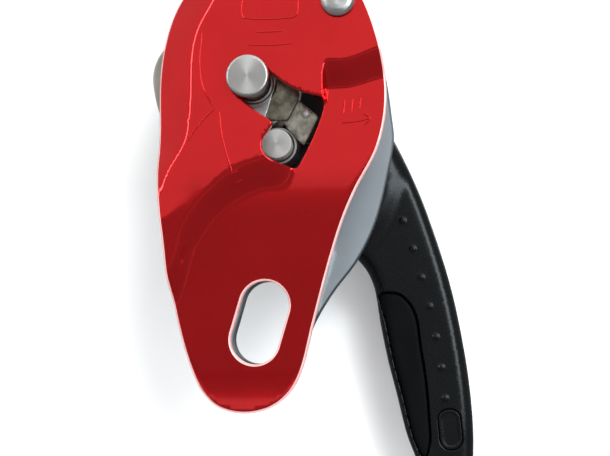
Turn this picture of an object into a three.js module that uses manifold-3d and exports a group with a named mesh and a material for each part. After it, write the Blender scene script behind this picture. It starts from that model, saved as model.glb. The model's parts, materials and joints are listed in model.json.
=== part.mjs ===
// Self-braking rope descender: two side plates, a rope cam on a fixed axle, a catch, a handle and its drive.
// Millimetres. +Z is up, the front (the swinging plate) faces -Y, and the origin is the middle of the
// attachment slot, half way between the two ears.
import * as THREE from "three";
import { mergeVertices } from "three/addons/utils/BufferGeometryUtils.js";
import Module from "manifold-3d";

// ---------------------------------------------------------------- driving dimensions
const SHEET = 3; // thickness of both side plates
const GAP = 0.3; // clearance between pieces that touch
const PAD_GAP = 0.5; // clearance round the edge of the finger pad

const SLOT = { width: 15.6, length: 27, tilt: 16.5 }; // attachment slot, leaning to the right
const AXLE = { x: -2.7, z: 77.9, r: 5.5, headR: 6.9 }; // cam axle
const PIVOT = { x: 26, z: 102.3, r: 3.5, headR: 5.65 }; // rivet that the front plate swings on
// Rope guide post: its neck goes through the fixed plate, and its tail is spread in a counterbore.
const POST = { x: 5, z: 57.9, r: 5, sleeveR: 6.2, neckR: 3, tailR: 4.6, tailDepth: 1.5 };
const CATCH_PIN = { x: 6.5, z: 71.5, r: 1.6 };
const CATCH_STUD = { x: 14.5, z: 67.7, r: 1.3 };

const FRONT_HIGH = -11.5; // front face of the swinging plate over the rope channel
const FRONT_LOW = -6; // front face of the swinging plate at its ear
const REAR_HIGH = 13; // inner face of the fixed plate behind the rope channel
const REAR_EAR = 3; // inner face of the fixed plate at its ear
const STACK_FRONT = -2.6; // nothing inside stands in front of this, so the plate can swing over it
const CAM_FRONT = 1;
const CAM_BACK = REAR_HIGH - 0.4;
const HOUSING_FRONT = REAR_HIGH + SHEET + GAP;
const HOUSING_BACK = HOUSING_FRONT + 4.7;
const SHELL_FRONT = HOUSING_BACK + GAP;
const SHELL_SPLIT = SHELL_FRONT + 7.7;
const SHELL_BACK = SHELL_SPLIT + 6;

const CAM = { r: 14.5, lobe: 5.5, lobeAt: 115, lobeSpread: 75, grooveDepth: 3 };
const HOUSING = { innerR: 20.5, outerR: 25 };
const HUB_R = 26; // round end of the handle
const HUB_BORE = 7.8; // bore of the handle for its bushing
const PLATE_BORE = 9.4; // hole in the fixed plate for the sleeve of the drive dog
const CHEEK_R = 9.4; // round part of the cam's front arm
const DOG = { sleeveR: 9, flangeR: 11, teeth: 6, toothR: 1.6, toothAt: 11.4 };
const CAM_FLANGE = 1.8; // thickness of each flange beside the rope groove
const CUTOUT = { slotHalf: 6.2, notchX: 6.6, notchZ: 56.3, notchHalf: 5.15 };
const BUTTON = { distance: 24, r: 5, travel: 3 };
const SCREW = { r: 1.5, headR: 2.6 };

// Outlines, as corner points [x, z] that a smooth closed curve runs through.
const FRONT_PLATE_OUTLINE = [
  [-5, -28.7], [3.7, -26.8], [9.8, -21.9], [13.3, -15.5], [17.5, 0.6], [22.7, 19.9], [26.8, 32.7],
  [31, 42.4], [37.8, 55.2], [40.7, 68.1], [40.4, 81], [37.5, 93.8], [33.6, 103.5], [27.5, 111.5],
  [17, 116.8], [3, 118.5], [-11, 116.3], [-21.5, 111.2], [-27.5, 103.5], [-31.7, 90.6], [-33.3, 77.7],
  [-33.1, 61.7], [-33, 45.6], [-30.7, 26.3], [-28.1, 7], [-23, -12.3], [-18.5, -21.9], [-13.3, -26.8],
];
const REAR_PLATE_OUTLINE = [
  [-5, -27], [2.5, -25], [8.6, -19], [12.4, -10.5], [15.8, -0.2], [22, 10.1], [29.8, 20.3], [36, 32.6],
  [40.4, 49], [42.5, 61.3], [41.8, 69.5], [40.8, 77.7], [39.4, 85.9], [37.4, 93], [33, 104],
  [26, 111.8], [15, 116.6], [2, 117.8], [-11, 115.8], [-21, 110.8], [-28, 103], [-32.5, 91],
  [-34.4, 78], [-34, 60], [-32.8, 44], [-31, 26], [-28, 8], [-23, -11], [-18, -20.5], [-12.5, -25.4],
];

// Fold lines of the swinging plate: each pair is a point at the high level and its partner at the low one.
const FRONT_JOGGLE = [
  [[-38, 12], [-37, 1]], [[-29.3, 17.2], [-26.8, 5.5]], [[-26.8, 22.7], [-24, 11.9]],
  [[-24.9, 29.6], [-20.8, 23.1]], [[-22.7, 34.1], [-17.3, 28.9]], [[-19.2, 38.8], [-12.8, 34.7]],
  [[-14.7, 43.3], [-8.5, 38]], [[-10.3, 47.4], [-4.7, 40.2]], [[-5.2, 50.2], [1.1, 42.4]],
  [[1.7, 52.8], [8.5, 43.7]], [[9, 57], [12, 51]], [[16, 65], [17.4, 63.3]],
  [[20.4, 71.2], [20.9, 70.6]], [[21.2, 73], [21.8, 72]], [[21.2, 81], [22.2, 74.4]],
  [[22.3, 83.5], [23, 74.6]], [[27.4, 83.5], [28, 74.7]], [[31.5, 84.5], [32.3, 75.6]],
  [[34.7, 85.7], [35.5, 76.5]], [[46, 90.5], [46, 79.5]],
];
// The upright wall where the swinging plate steps down beside its opening.
const STEP_WALL = [[18.9, 70.5], [21.6, 70.5], [21.8, 82.6], [21.8, 85], [18.9, 85]];
// Fold lines of the rope flange: crease, and its partner just outside the plate's left edge.
const FLANGE_FALL = 0.54; // how far the flange falls back for each mm across
const FLANGE = [
  [[-4, 132], [-16, 134]], [[-10.5, 110], [-28, 115]], [[-14.7, 102], [-31, 106]],
  [[-18.2, 95.9], [-34, 98]], [[-20, 90.8], [-35.5, 91]], [[-20.9, 84.1], [-36.3, 84]],
  [[-21.2, 70.8], [-36.5, 70]], [[-22.3, 60.7], [-36.3, 60]], [[-23.9, 56.3], [-36.3, 55]],
  [[-27.1, 51.2], [-36.2, 50]], [[-29, 47.4], [-36, 46]], [[-29.3, 40.7], [-35.7, 40]],
  [[-30, 34], [-36, 31]],
];
// Fold lines of the fixed plate, from the rope channel forward to its ear.
const REAR_JOGGLE = [
  [[-42, 22], [-40, 3]], [[-31, 27], [-27, 12]], [[-25, 35], [-20, 23]], [[-16, 40], [-12, 29]],
  [[-5, 41.5], [-3, 31]], [[6, 40.5], [5, 30]], [[16, 36], [11, 26]], [[22.5, 28], [13.5, 20]],
  [[20.5, 16], [12.8, 12]], [[17.8, 7.3], [11.8, 4]], [[17.5, -1], [11.2, -4]], [[20, -7], [12.4, -11]],
  [[26, -12], [22, -22]],
];

// The handle below its round hub: outer edge from the hub down, round the tip, and back up the finger side.
const HANDLE_EDGE = [
  [12, 99.3], [24, 89.5], [34, 76.5], [42.7, 61.7], [50.3, 45.2], [56.1, 28.7], [60.9, 12.2],
  [64.3, -4.3], [66.7, -20.8], [67.8, -37.3], [67.2, -48.5], [64.3, -58], [58.6, -62.5], [53.4, -58.5],
  [48.6, -46], [45.4, -37.3], [42.4, -24.9], [39.3, -12.5], [36.9, -0.2], [34.9, 11.9], [32.6, 17.3],
  [29.6, 21.2], [23, 28.5], [14, 38.2], [4, 48.3],
];
const FINGER_PAD = [
  [36.8, 9.4], [40.6, 10.2], [44, 9.4], [47.3, 6.2], [49.4, 1.5], [50.6, -7.4], [52.3, -19.1],
  [53.3, -32.5], [53.4, -41], [51.6, -45.5], [49.4, -43], [47.4, -37.7], [44.4, -25.3], [41.3, -12.9],
  [38.9, -0.6],
];
const BADGE = { x: 60.1, z: -35.6, width: 7.4, height: 13, tilt: -5 };

// ---------------------------------------------------------------- tools
const wasm = await Module();
wasm.setup();

const rad = THREE.MathUtils.degToRad;

// The closed solid that a three.js geometry bounds.
function solid(geometry) {
  const bare = geometry.clone();
  bare.deleteAttribute("normal");
  bare.deleteAttribute("uv");
  const merged = mergeVertices(bare, 1e-4);
  const vertProperties = new Float32Array(merged.getAttribute("position").array);
  const triVerts = new Uint32Array(merged.index.array);
  return new wasm.Manifold(new wasm.Mesh({ numProp: 3, vertProperties, triVerts }));
}

function joined(solids) {
  return solids.reduce((whole, piece) => whole.add(piece));
}

function material(color, roughness, metalness) {
  return new THREE.MeshStandardMaterial({ color, roughness, metalness });
}

// A named mesh of a solid, put into its group.
function addPiece(group, name, shape, finish) {
  const { vertProperties, triVerts } = shape.getMesh();
  const geometry = new THREE.BufferGeometry();
  geometry.setAttribute("position", new THREE.BufferAttribute(new Float32Array(vertProperties), 3));
  geometry.setIndex(new THREE.BufferAttribute(new Uint32Array(triVerts), 1));
  geometry.computeVertexNormals();
  const mesh = new THREE.Mesh(geometry, finish());
  mesh.name = name;
  group.add(mesh);
}

const corner = ([x, z]) => new THREE.Vector2(x, z);

// A smooth closed outline through corner points, as a shape in the x-z plane.
function smoothShape(points, divisions) {
  const nodes = points.map(([x, z]) => new THREE.Vector3(x, z, 0));
  const curve = new THREE.CatmullRomCurve3(nodes, true, "centripetal");
  return new THREE.Shape(curve.getPoints(divisions).slice(0, -1).map((p) => new THREE.Vector2(p.x, p.y)));
}

function polygon(points) {
  return new THREE.Shape(points.map(corner));
}

// A shape in the x-z plane given thickness from y = front to y = back.
function slab(shape, front, back, curveSegments = 6) {
  const geometry = new THREE.ExtrudeGeometry(shape, {
    depth: back - front,
    bevelEnabled: false,
    curveSegments,
  });
  return solid(geometry.rotateX(Math.PI / 2).translate(0, back, 0));
}

// A turned piece about an axis along y: the profile is a closed loop of [radius, y].
function turned(profile, x = 0, z = 0, segments = 20) {
  const points = [...profile, profile[0]].map(([r, y]) => new THREE.Vector2(r, y));
  return solid(new THREE.LatheGeometry(points, segments).translate(x, 0, z));
}

const pin = (r, front, back, x = 0, z = 0, segments = 20) =>
  turned([[0, front], [r, front], [r, back], [0, back]], x, z, segments);

const tube = (inner, outer, front, back, x = 0, z = 0, segments = 20) =>
  turned([[inner, front], [outer, front], [outer, back], [inner, back]], x, z, segments);

// A patch of sheet metal whose corners [x, z, y] each have their own front level.
function sheetPatch(corners) {
  const geometry = new THREE.ExtrudeGeometry(polygon(corners), { depth: SHEET, bevelEnabled: false });
  geometry.rotateX(Math.PI / 2).translate(0, SHEET, 0);
  const position = geometry.getAttribute("position");
  for (let i = 0; i < position.count; i++) {
    const near = ([x, z]) => Math.hypot(x - position.getX(i), z - position.getZ(i)) < 1e-3;
    position.setY(i, position.getY(i) + corners.find(near)[2]);
  }
  return solid(geometry);
}

// Sheet metal joggled from one level to another along pairs of fold points.
function joggle(pairs, highLevel, lowLevel) {
  return pairs.slice(1).map(([high, low], i) => {
    const [lastHigh, lastLow] = pairs[i];
    return sheetPatch([
      [...lastHigh, highLevel], [...high, highLevel], [...low, lowLevel], [...lastLow, lowLevel],
    ]);
  });
}

// A rounded slot of a given half width between two points.
function slotShape(x0, z0, x1, z1, half) {
  const along = Math.atan2(z1 - z0, x1 - x0);
  const shape = new THREE.Shape();
  shape.absarc(x1, z1, half, along - Math.PI / 2, along + Math.PI / 2, false);
  shape.absarc(x0, z0, half, along + Math.PI / 2, along + 1.5 * Math.PI, false);
  return shape;
}

function attachmentSlot(front, back) {
  const reach = (SLOT.length - SLOT.width) / 2;
  const dx = reach * Math.sin(rad(SLOT.tilt));
  const dz = reach * Math.cos(rad(SLOT.tilt));
  return slab(slotShape(-dx, -dz, dx, dz, SLOT.width / 2), front, back, 8);
}

// ---------------------------------------------------------------- finishes
const redPaint = () => material(0xc42a28, 0.3, 0.6);
const greyPaint = () => material(0x858c94, 0.4, 0.5);
const steel = () => material(0xb4b4af, 0.35, 1);
const darkSteel = () => material(0x6e6c64, 0.45, 1);
const bronze = () => material(0xa87c4a, 0.4, 1);
const nylon = () => material(0x14171a, 0.5, 0);
const softGrip = () => material(0x0c0e10, 0.75, 0);
const springSteel = () => material(0x8f9194, 0.3, 1);

// ---------------------------------------------------------------- side plates
// The opening for the cam axle and the guide post: arcs about the swing rivet, so the pins pass freely.
function cutoutShape() {
  const polar = (x, z) => ({
    r: Math.hypot(x - PIVOT.x, z - PIVOT.z),
    a: Math.atan2(z - PIVOT.z, x - PIVOT.x),
  });
  const axle = polar(AXLE.x, AXLE.z);
  const notch = polar(CUTOUT.notchX, CUTOUT.notchZ);
  const half = CUTOUT.slotHalf;
  const rightTop = rad(-98.8);
  const rightBottom = rad(-104.8);
  const tip = rad(-118.2);
  const shape = new THREE.Shape();
  shape.absarc(PIVOT.x, PIVOT.z, axle.r - half, rightTop, axle.a, true);
  shape.absarc(AXLE.x, AXLE.z, half, axle.a + Math.PI, axle.a + 2 * Math.PI, false);
  shape.absarc(PIVOT.x, PIVOT.z, axle.r + half, axle.a, tip, false);
  shape.absarc(CUTOUT.notchX, CUTOUT.notchZ, CUTOUT.notchHalf, rad(130), notch.a + 2 * Math.PI, false);
  shape.absarc(PIVOT.x, PIVOT.z, notch.r + CUTOUT.notchHalf, notch.a, rightBottom, false);
  shape.quadraticCurveTo(19.3, 61.5, 21.2, 71.2);
  return shape;
}

function swingingPlate() {
  const flange = FLANGE.slice(1).map(([crease, edge], i) => {
    const [lastCrease, lastEdge] = FLANGE[i];
    const ends = i === FLANGE.length - 2;
    const level = (c, e) => FRONT_HIGH + FLANGE_FALL * (c[0] - e[0]);
    return sheetPatch([
      [...lastCrease, FRONT_HIGH], [...lastEdge, level(lastCrease, lastEdge)],
      [...edge, ends ? FRONT_HIGH : level(crease, edge)], [...crease, FRONT_HIGH],
    ]);
  });
  const highEdge = FRONT_JOGGLE.map(([high]) => high);
  const lowEdge = FRONT_JOGGLE.map(([, low]) => low);
  const creases = FLANGE.map(([crease]) => crease);
  const lastEdge = FLANGE[FLANGE.length - 1][1];
  const high = slab(polygon([...highEdge, [46, 132], ...creases, lastEdge]), FRONT_HIGH, FRONT_HIGH + SHEET);
  const low = slab(polygon([...lowEdge, [60, -60], [-60, -60]]), FRONT_LOW, FRONT_LOW + SHEET);
  const wall = slab(polygon(STEP_WALL), FRONT_HIGH + 0.5, FRONT_LOW + SHEET);
  const ramps = joggle(FRONT_JOGGLE, FRONT_HIGH, FRONT_LOW);
  const sheet = joined([high, low, wall, ...ramps, ...flange]);
  const outline = slab(smoothShape(FRONT_PLATE_OUTLINE, 60), -20, 8);
  return sheet
    .intersect(outline)
    .subtract(attachmentSlot(-20, 8))
    .subtract(slab(cutoutShape(), -20, 8))
    .subtract(pin(PIVOT.r + GAP, -20, 8, PIVOT.x, PIVOT.z));
}

// Rivets and screws that go through the fixed plate.
const SHOE_RIVETS = [[-25.5, 99.5], [-29.2, 54.5]];
const SHOE_RIVET_R = 1.8;
const HOUSING_SCREWS = [80, 200, 320].map((angle) => {
  const r = (HOUSING.innerR + HOUSING.outerR) / 2;
  return [AXLE.x + r * Math.cos(rad(angle)), AXLE.z + r * Math.sin(rad(angle))];
});

function fixedPlate() {
  const highEdge = REAR_JOGGLE.map(([high]) => high);
  const lowEdge = REAR_JOGGLE.map(([, low]) => low);
  const high = slab(polygon([...highEdge, [80, -12], [80, 150], [-60, 150]]), REAR_HIGH, REAR_HIGH + SHEET);
  const low = slab(polygon([...lowEdge, [22, -60], [-60, -60]]), REAR_EAR, REAR_EAR + SHEET);
  const sheet = joined([high, low, ...joggle(REAR_JOGGLE, REAR_HIGH, REAR_EAR)]);
  const outline = slab(smoothShape(REAR_PLATE_OUTLINE, 60), -5, 30);
  const through = (r, x, z) => pin(r, -5, 30, x, z, 14);
  const cuts = [
    attachmentSlot(-5, 30),
    through(PLATE_BORE, AXLE.x, AXLE.z),
    through(POST.neckR + GAP, POST.x, POST.z),
    pin(POST.tailR + GAP, REAR_HIGH + SHEET - POST.tailDepth - GAP, 30, POST.x, POST.z, 24),
    through(PIVOT.r + GAP, PIVOT.x, PIVOT.z),
    ...SHOE_RIVETS.map(([x, z]) => through(SHOE_RIVET_R + GAP, x, z)),
    ...HOUSING_SCREWS.map(([x, z]) => through(SCREW.r + GAP, x, z)),
    ...HOUSING_SCREWS.map(([x, z]) => pin(SCREW.headR + GAP, REAR_HIGH - 5, REAR_HIGH + 2, x, z, 14)),
  ];
  return cuts.reduce((plate, cut) => plate.subtract(cut), sheet.intersect(outline));
}

// ---------------------------------------------------------------- frame pieces
function camAxle() {
  const front = FRONT_HIGH - 0.5;
  return turned([
    [0, front - 3], [AXLE.headR - 1.4, front - 3], [AXLE.headR, front - 2], [AXLE.headR, front - 0.5],
    [AXLE.headR - 0.5, front], [AXLE.r, front], [AXLE.r, SHELL_BACK + 3.8], [0, SHELL_BACK + 3.8],
  ]);
}

function axleNut() {
  const hexagon = turned([[0, SHELL_BACK + 0.4], [7, SHELL_BACK + 0.4], [7, SHELL_BACK + 4], [0, SHELL_BACK + 4]],
    0, 0, 6);
  return hexagon.subtract(pin(AXLE.r + GAP, 0, 60));
}

function guidePost() {
  const { r, neckR, tailR } = POST;
  const tail = REAR_HIGH + SHEET - POST.tailDepth;
  return turned([
    [0, STACK_FRONT], [r - 0.4, STACK_FRONT], [r, STACK_FRONT + 0.4], [r, REAR_HIGH - GAP],
    [neckR, REAR_HIGH - GAP], [neckR, tail], [tailR, tail], [tailR, REAR_HIGH + SHEET],
    [0, REAR_HIGH + SHEET],
  ], POST.x, POST.z);
}

function pivotRivet() {
  const front = FRONT_HIGH - GAP;
  const back = REAR_HIGH + SHEET + GAP;
  const { r, headR } = PIVOT;
  return turned([
    [0, front - 2.4], [headR - 1.6, front - 2.2], [headR, front - 1], [headR, front], [r, front], [r, back],
    [headR, back], [headR, back + 0.8], [headR - 1.6, back + 2], [0, back + 2.2],
  ], PIVOT.x, PIVOT.z);
}

// The friction shoe: a crescent of steel that faces the cam groove, with a tab for each rivet.
function frictionShoe() {
  const outer = [[-30.4, 92], [-34.2, 88.5], [-36.4, 82], [-35.6, 74.5], [-33, 65.5], [-30.6, 58.5]];
  const inner = [[-28.2, 59.5], [-30, 66], [-31.4, 74], [-31.6, 80], [-30.4, 86], [-27.6, 91]];
  const body = slab(smoothShape([...outer, ...inner], 32), -1.6, CAM_BACK);
  const tabFront = CAM_BACK - 2;
  const tabs = [
    slab(slotShape(-29.4, 90, ...SHOE_RIVETS[0], 3.2), tabFront, CAM_BACK),
    slab(slotShape(-30.2, 61, ...SHOE_RIVETS[1], 3.2), tabFront, CAM_BACK),
  ];
  const holes = SHOE_RIVETS.map(([x, z]) => pin(SHOE_RIVET_R + GAP, 0, 30, x, z, 14));
  return holes.reduce((shoe, hole) => shoe.subtract(hole), joined([body, ...tabs]));
}

function shoeRivet(x, z) {
  const front = CAM_BACK - 2 - GAP;
  const back = REAR_HIGH + SHEET + GAP;
  const r = SHOE_RIVET_R;
  return turned([
    [0, front - 1.2], [2.4, front - 1], [3, front], [r, front], [r, back], [3, back], [2.4, back + 1],
    [0, back + 1.2],
  ], x, z, 14);
}

function hubHousing() {
  const ring = tube(HOUSING.innerR, HOUSING.outerR, HOUSING_FRONT, HOUSING_BACK, 0, 0, 32);
  const holes = HOUSING_SCREWS.map(([x, z]) => pin(SCREW.r + GAP, 0, 40, x - AXLE.x, z - AXLE.z, 16));
  return holes.reduce((housing, hole) => housing.subtract(hole), ring);
}

function housingScrew(x, z) {
  const head = REAR_HIGH + 0.1;
  return turned([
    [0, head], [SCREW.headR, head], [SCREW.headR, head + 1.4], [SCREW.r, head + 1.4],
    [SCREW.r, HOUSING_BACK - 0.4], [0, HOUSING_BACK - 0.4],
  ], x, z, 16);
}

// ---------------------------------------------------------------- cam and its pieces, about the cam axle
// Edge radius of the cam at an angle in degrees: round, with one smooth lobe.
function camRadius(angle) {
  const away = Math.abs(THREE.MathUtils.euclideanModulo(angle - CAM.lobeAt + 180, 360) - 180);
  return CAM.r + CAM.lobe * Math.cos(rad((90 * Math.min(away, CAM.lobeSpread)) / CAM.lobeSpread)) ** 2;
}

function camShape(inset) {
  const steps = 30;
  const edge = Array.from({ length: steps }, (_, i) => {
    const angle = (360 * i) / steps;
    const r = camRadius(angle) - inset;
    return [r * Math.cos(rad(angle)), r * Math.sin(rad(angle))];
  });
  return polygon(edge);
}

const CAM_SPRING = { r: 9, wire: 1.2, turns: 2 };

function cam() {
  const discs = joined([
    slab(camShape(0), CAM_FRONT, CAM_FRONT + CAM_FLANGE),
    slab(camShape(CAM.grooveDepth), CAM_FRONT + CAM_FLANGE, CAM_BACK - CAM_FLANGE),
    slab(camShape(0), CAM_BACK - CAM_FLANGE, CAM_BACK),
  ]);
  const { r, wire } = CAM_SPRING;
  const springPocket = tube(r - wire / 2 - 0.5, r + wire / 2 + 0.6, CAM_FRONT - 1, CAM_FRONT + 4.6);
  const hub = discs.subtract(pin(AXLE.r + 1.8, -5, 30)).subtract(springPocket);
  return hub.subtract(pin(CATCH_PIN.r + GAP, -5, 7, CATCH_PIN.x - AXLE.x, CATCH_PIN.z - AXLE.z, 20));
}

// The steel arm in front of the cam, from the axle to its bevelled end.
function camCheek() {
  const arm = polygon([[2, 9.5], [14.6, -0.2], [15.4, -4.3], [11.3, -12.4], [6.1, -12.4], [-3, -9.2]]);
  const plate = slab(arm, STACK_FRONT + 0.5, -1.1).add(pin(CHEEK_R, STACK_FRONT, -1.1));
  const hole = pin(CATCH_PIN.r + GAP, -5, 7, CATCH_PIN.x - AXLE.x, CATCH_PIN.z - AXLE.z, 20);
  return plate.subtract(pin(AXLE.r + 1.4, -5, 5)).subtract(hole);
}

// A round wire coiled about the y axis, from one level to another.
function coil(radius, wire, turns, front, back, steps) {
  class Coil extends THREE.Curve {
    getPoint(t) {
      const angle = 2 * Math.PI * turns * t;
      return new THREE.Vector3(radius * Math.cos(angle), front + (back - front) * t, radius * Math.sin(angle));
    }
  }
  const section = new THREE.Shape().absarc(0, 0, wire / 2, 0, 2 * Math.PI);
  return solid(new THREE.ExtrudeGeometry(section, { extrudePath: new Coil(), steps, curveSegments: 2 }));
}

function camSpring() {
  const { r, wire, turns } = CAM_SPRING;
  return coil(r, wire, turns, CAM_FRONT + 1.2, CAM_FRONT + 3.8, 28);
}

// The dog behind the fixed plate: a sleeve through the plate, and a toothed flange that the pawl drives.
function driveDog() {
  const sleeve = tube(AXLE.r + GAP, DOG.sleeveR, CAM_BACK + GAP, HOUSING_FRONT + 1);
  const flange = tube(AXLE.r + GAP, DOG.flangeR, HOUSING_FRONT + GAP, HOUSING_BACK - 1.5);
  const gaps = Array.from({ length: DOG.teeth }, (_, i) => {
    const at = (2 * Math.PI * i) / DOG.teeth;
    return pin(DOG.toothR, 0, 40, DOG.toothAt * Math.cos(at), DOG.toothAt * Math.sin(at), 12);
  });
  return gaps.reduce((dog, gap) => dog.subtract(gap), sleeve.add(flange));
}

function catchPin() {
  return pin(CATCH_PIN.r, STACK_FRONT + 0.4, CAM_FRONT + 4, CATCH_PIN.x, CATCH_PIN.z, 20);
}

// ---------------------------------------------------------------- anti-error catch, about its own pin
function antiErrorCatch() {
  const eye = pin(3.6, -0.8, 0.7, 0, 0, 24);
  const blade = slab(polygon([[1.5, -8.1], [7.3, -14.4], [12.2, -4.8], [4.6, 1.8], [-1.8, -3]]), -0.8, 0.7);
  const hole = pin(CATCH_PIN.r + GAP, -5, 5, 0, 0, 20);
  const studHole = pin(CATCH_STUD.r, -5, 5, CATCH_STUD.x - CATCH_PIN.x, CATCH_STUD.z - CATCH_PIN.z, 16);
  return eye.add(blade).subtract(hole).subtract(studHole);
}

function catchStud() {
  const r = CATCH_STUD.r;
  return turned([
    [0, -2.1], [r * 0.7, -1.9], [r, -1.3], [r, -1.1], [r - GAP, -1.1], [r - GAP, 0.9], [0, 0.9],
  ], CATCH_STUD.x - CATCH_PIN.x, CATCH_STUD.z - CATCH_PIN.z, 16);
}

// ---------------------------------------------------------------- handle
function handleShape() {
  const start = Math.atan2(HANDLE_EDGE[0][1] - AXLE.z, HANDLE_EDGE[0][0] - AXLE.x);
  const last = HANDLE_EDGE[HANDLE_EDGE.length - 1];
  const end = Math.atan2(last[1] - AXLE.z, last[0] - AXLE.x) + 2 * Math.PI;
  const round = Array.from({ length: 7 }, (_, i) => {
    const angle = end + ((start - end) * (i + 2)) / 10;
    return [AXLE.x + HUB_R * Math.cos(angle), AXLE.z + HUB_R * Math.sin(angle)];
  });
  return smoothShape([...HANDLE_EDGE, ...round], 70);
}

// The arm inside the handle, a flat bar from the hub into the grip.
const ARM_POINTS = [[-2.7, 77.9, 15], [22, 60, 12], [40, 36, 10], [49, 5, 7], [55, -28, 6]];

function armSolid(grow, front, back) {
  const links = ARM_POINTS.slice(1).map(([x, z, half], i) => {
    const [x0, z0, half0] = ARM_POINTS[i];
    const along = Math.atan2(z - z0, x - x0);
    const side = (px, pz, h, sign) => [px - sign * h * Math.sin(along), pz + sign * h * Math.cos(along)];
    const quad = [side(x0, z0, half0 + grow, 1), side(x, z, half + grow, 1),
      side(x, z, half + grow, -1), side(x0, z0, half0 + grow, -1)];
    return slab(polygon(quad), front, back);
  });
  const joints = ARM_POINTS.map(([x, z, half]) => pin(half + grow, front, back, x, z, 14));
  return joined([...links, ...joints]);
}

const ARM_FRONT = SHELL_FRONT + 3.2;
const ARM_BACK = ARM_FRONT + 3;
const HANDLE_SCREWS = [[38, 36], [48.5, 6], [54.6, -27]];
const ARM_ANGLE = Math.atan2(-18, 25);
const BUTTON_AT = [AXLE.x + BUTTON.distance * Math.cos(ARM_ANGLE), AXLE.z + BUTTON.distance * Math.sin(ARM_ANGLE)];
const PAWL_PIN = { x: AXLE.x - 4.5, z: AXLE.z + 15.4, r: 1.5 };

function handleFrontShell() {
  const body = slab(handleShape(), SHELL_FRONT, SHELL_SPLIT);
  const cuts = [
    armSolid(GAP, ARM_FRONT - GAP, SHELL_SPLIT + 1),
    pin(HUB_BORE, 0, 50, AXLE.x, AXLE.z),
    slab(smoothShape(FINGER_PAD, 40), SHELL_FRONT - 1, SHELL_FRONT + 2.2),
    badgeSolid(GAP, SHELL_FRONT - 1, SHELL_FRONT + 1),
    pin(PAWL_PIN.r + GAP, 0, SHELL_FRONT + 1.8, PAWL_PIN.x, PAWL_PIN.z, 16),
    ...HANDLE_SCREWS.map(([x, z]) => pin(SCREW.r + GAP, SHELL_FRONT + 2.4, 50, x, z, 16)),
  ];
  return cuts.reduce((shell, cut) => shell.subtract(cut), body);
}

function handleRearShell() {
  const body = slab(handleShape(), SHELL_SPLIT + GAP, SHELL_BACK);
  const cuts = [
    pin(HUB_BORE, 0, 50, AXLE.x, AXLE.z),
    pin(BUTTON.r + GAP, 0, 50, ...BUTTON_AT, 24),
    ...HANDLE_SCREWS.map(([x, z]) => pin(SCREW.r + GAP, 0, 50, x, z, 16)),
    ...HANDLE_SCREWS.map(([x, z]) => pin(SCREW.headR + GAP, SHELL_BACK - 2.2, 50, x, z, 20)),
  ];
  return cuts.reduce((shell, cut) => shell.subtract(cut), body);
}

function handleArm() {
  const cuts = [
    pin(HUB_BORE, 0, 50, AXLE.x, AXLE.z),
    ...HANDLE_SCREWS.map(([x, z]) => pin(SCREW.r + GAP, 0, 50, x, z, 16)),
  ];
  return cuts.reduce((arm, cut) => arm.subtract(cut), armSolid(0, ARM_FRONT, ARM_BACK));
}

function fingerPad() {
  const inset = FINGER_PAD.map(([x, z], i) => {
    const [ax, az] = FINGER_PAD[(i + FINGER_PAD.length - 1) % FINGER_PAD.length];
    const [bx, bz] = FINGER_PAD[(i + 1) % FINGER_PAD.length];
    const length = Math.hypot(bx - ax, bz - az);
    return [x - (PAD_GAP * (az - bz)) / length, z - (PAD_GAP * (bx - ax)) / length];
  });
  return slab(smoothShape(inset, 40), SHELL_FRONT + 0.7, SHELL_FRONT + 1.9);
}

function badgeSolid(grow, front, back) {
  const { x, z, width, height, tilt } = BADGE;
  const half = width / 2 + grow;
  const reach = (height - width) / 2;
  const up = rad(90 + tilt);
  const dx = reach * Math.cos(up);
  const dz = reach * Math.sin(up);
  return slab(slotShape(x - dx, z - dz, x + dx, z + dz, half), front, back);
}

function handleScrew(x, z) {
  const back = SHELL_BACK - 0.5;
  return turned([
    [0, SHELL_FRONT + 3], [SCREW.r, SHELL_FRONT + 3], [SCREW.r, back - 1.4], [SCREW.headR, back - 1.4],
    [SCREW.headR, back], [0, back],
  ], x, z, 16);
}

function hubCap() {
  const back = SHELL_BACK + GAP;
  return turned([
    [8.5, back], [17, back], [17, back + 2.2], [14, back + 5], [9, back + 6.2], [0, back + 6.4],
    [0, back + 4.6], [8.5, back + 4.6],
  ]);
}

function pawl() {
  const nose = slab(polygon([[-2.6, 0], [2.6, 0], [5, -3.2], [3.2, -3.8]]), HOUSING_FRONT + 0.5, HOUSING_BACK - 1.5);
  const eye = pin(3, HOUSING_FRONT + 0.5, HOUSING_BACK - 1.5, 0, 0, 20);
  return eye.add(nose).subtract(pin(PAWL_PIN.r + GAP, 0, 40, 0, 0, 16));
}

function pawlSpring() {
  const path = new THREE.CatmullRomCurve3([
    new THREE.Vector3(-13, HOUSING_FRONT + 2, 9.5), new THREE.Vector3(-11.5, HOUSING_FRONT + 2, 13),
    new THREE.Vector3(-8.6, HOUSING_FRONT + 2, 15.4),
  ]);
  const section = new THREE.Shape().absarc(0, 0, 0.4, 0, 2 * Math.PI);
  return solid(new THREE.ExtrudeGeometry(section, { extrudePath: path, steps: 6, curveSegments: 2 }));
}

// ---------------------------------------------------------------- horizontal-progress button, about its axis
function button() {
  const { r } = BUTTON;
  const back = SHELL_BACK + 4;
  const front = ARM_BACK + BUTTON.travel + 0.5;
  return turned([
    [0, front], [r - 1.2, front], [r, front + 0.6], [r, back - 1], [r - 1, back], [r - 3, back - 0.5],
    [0, back - 0.7],
  ], 0, 0, 24);
}

function buttonSpring() {
  return coil(2.8, 0.7, 2, ARM_BACK + 0.6, ARM_BACK + BUTTON.travel - 0.1, 20);
}

// ---------------------------------------------------------------- assembly
const descender = new THREE.Group();

// Everything made about the cam axle sits in this group.
const aboutAxle = new THREE.Group();
aboutAxle.position.set(AXLE.x, 0, AXLE.z);
descender.add(aboutAxle);

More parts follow.
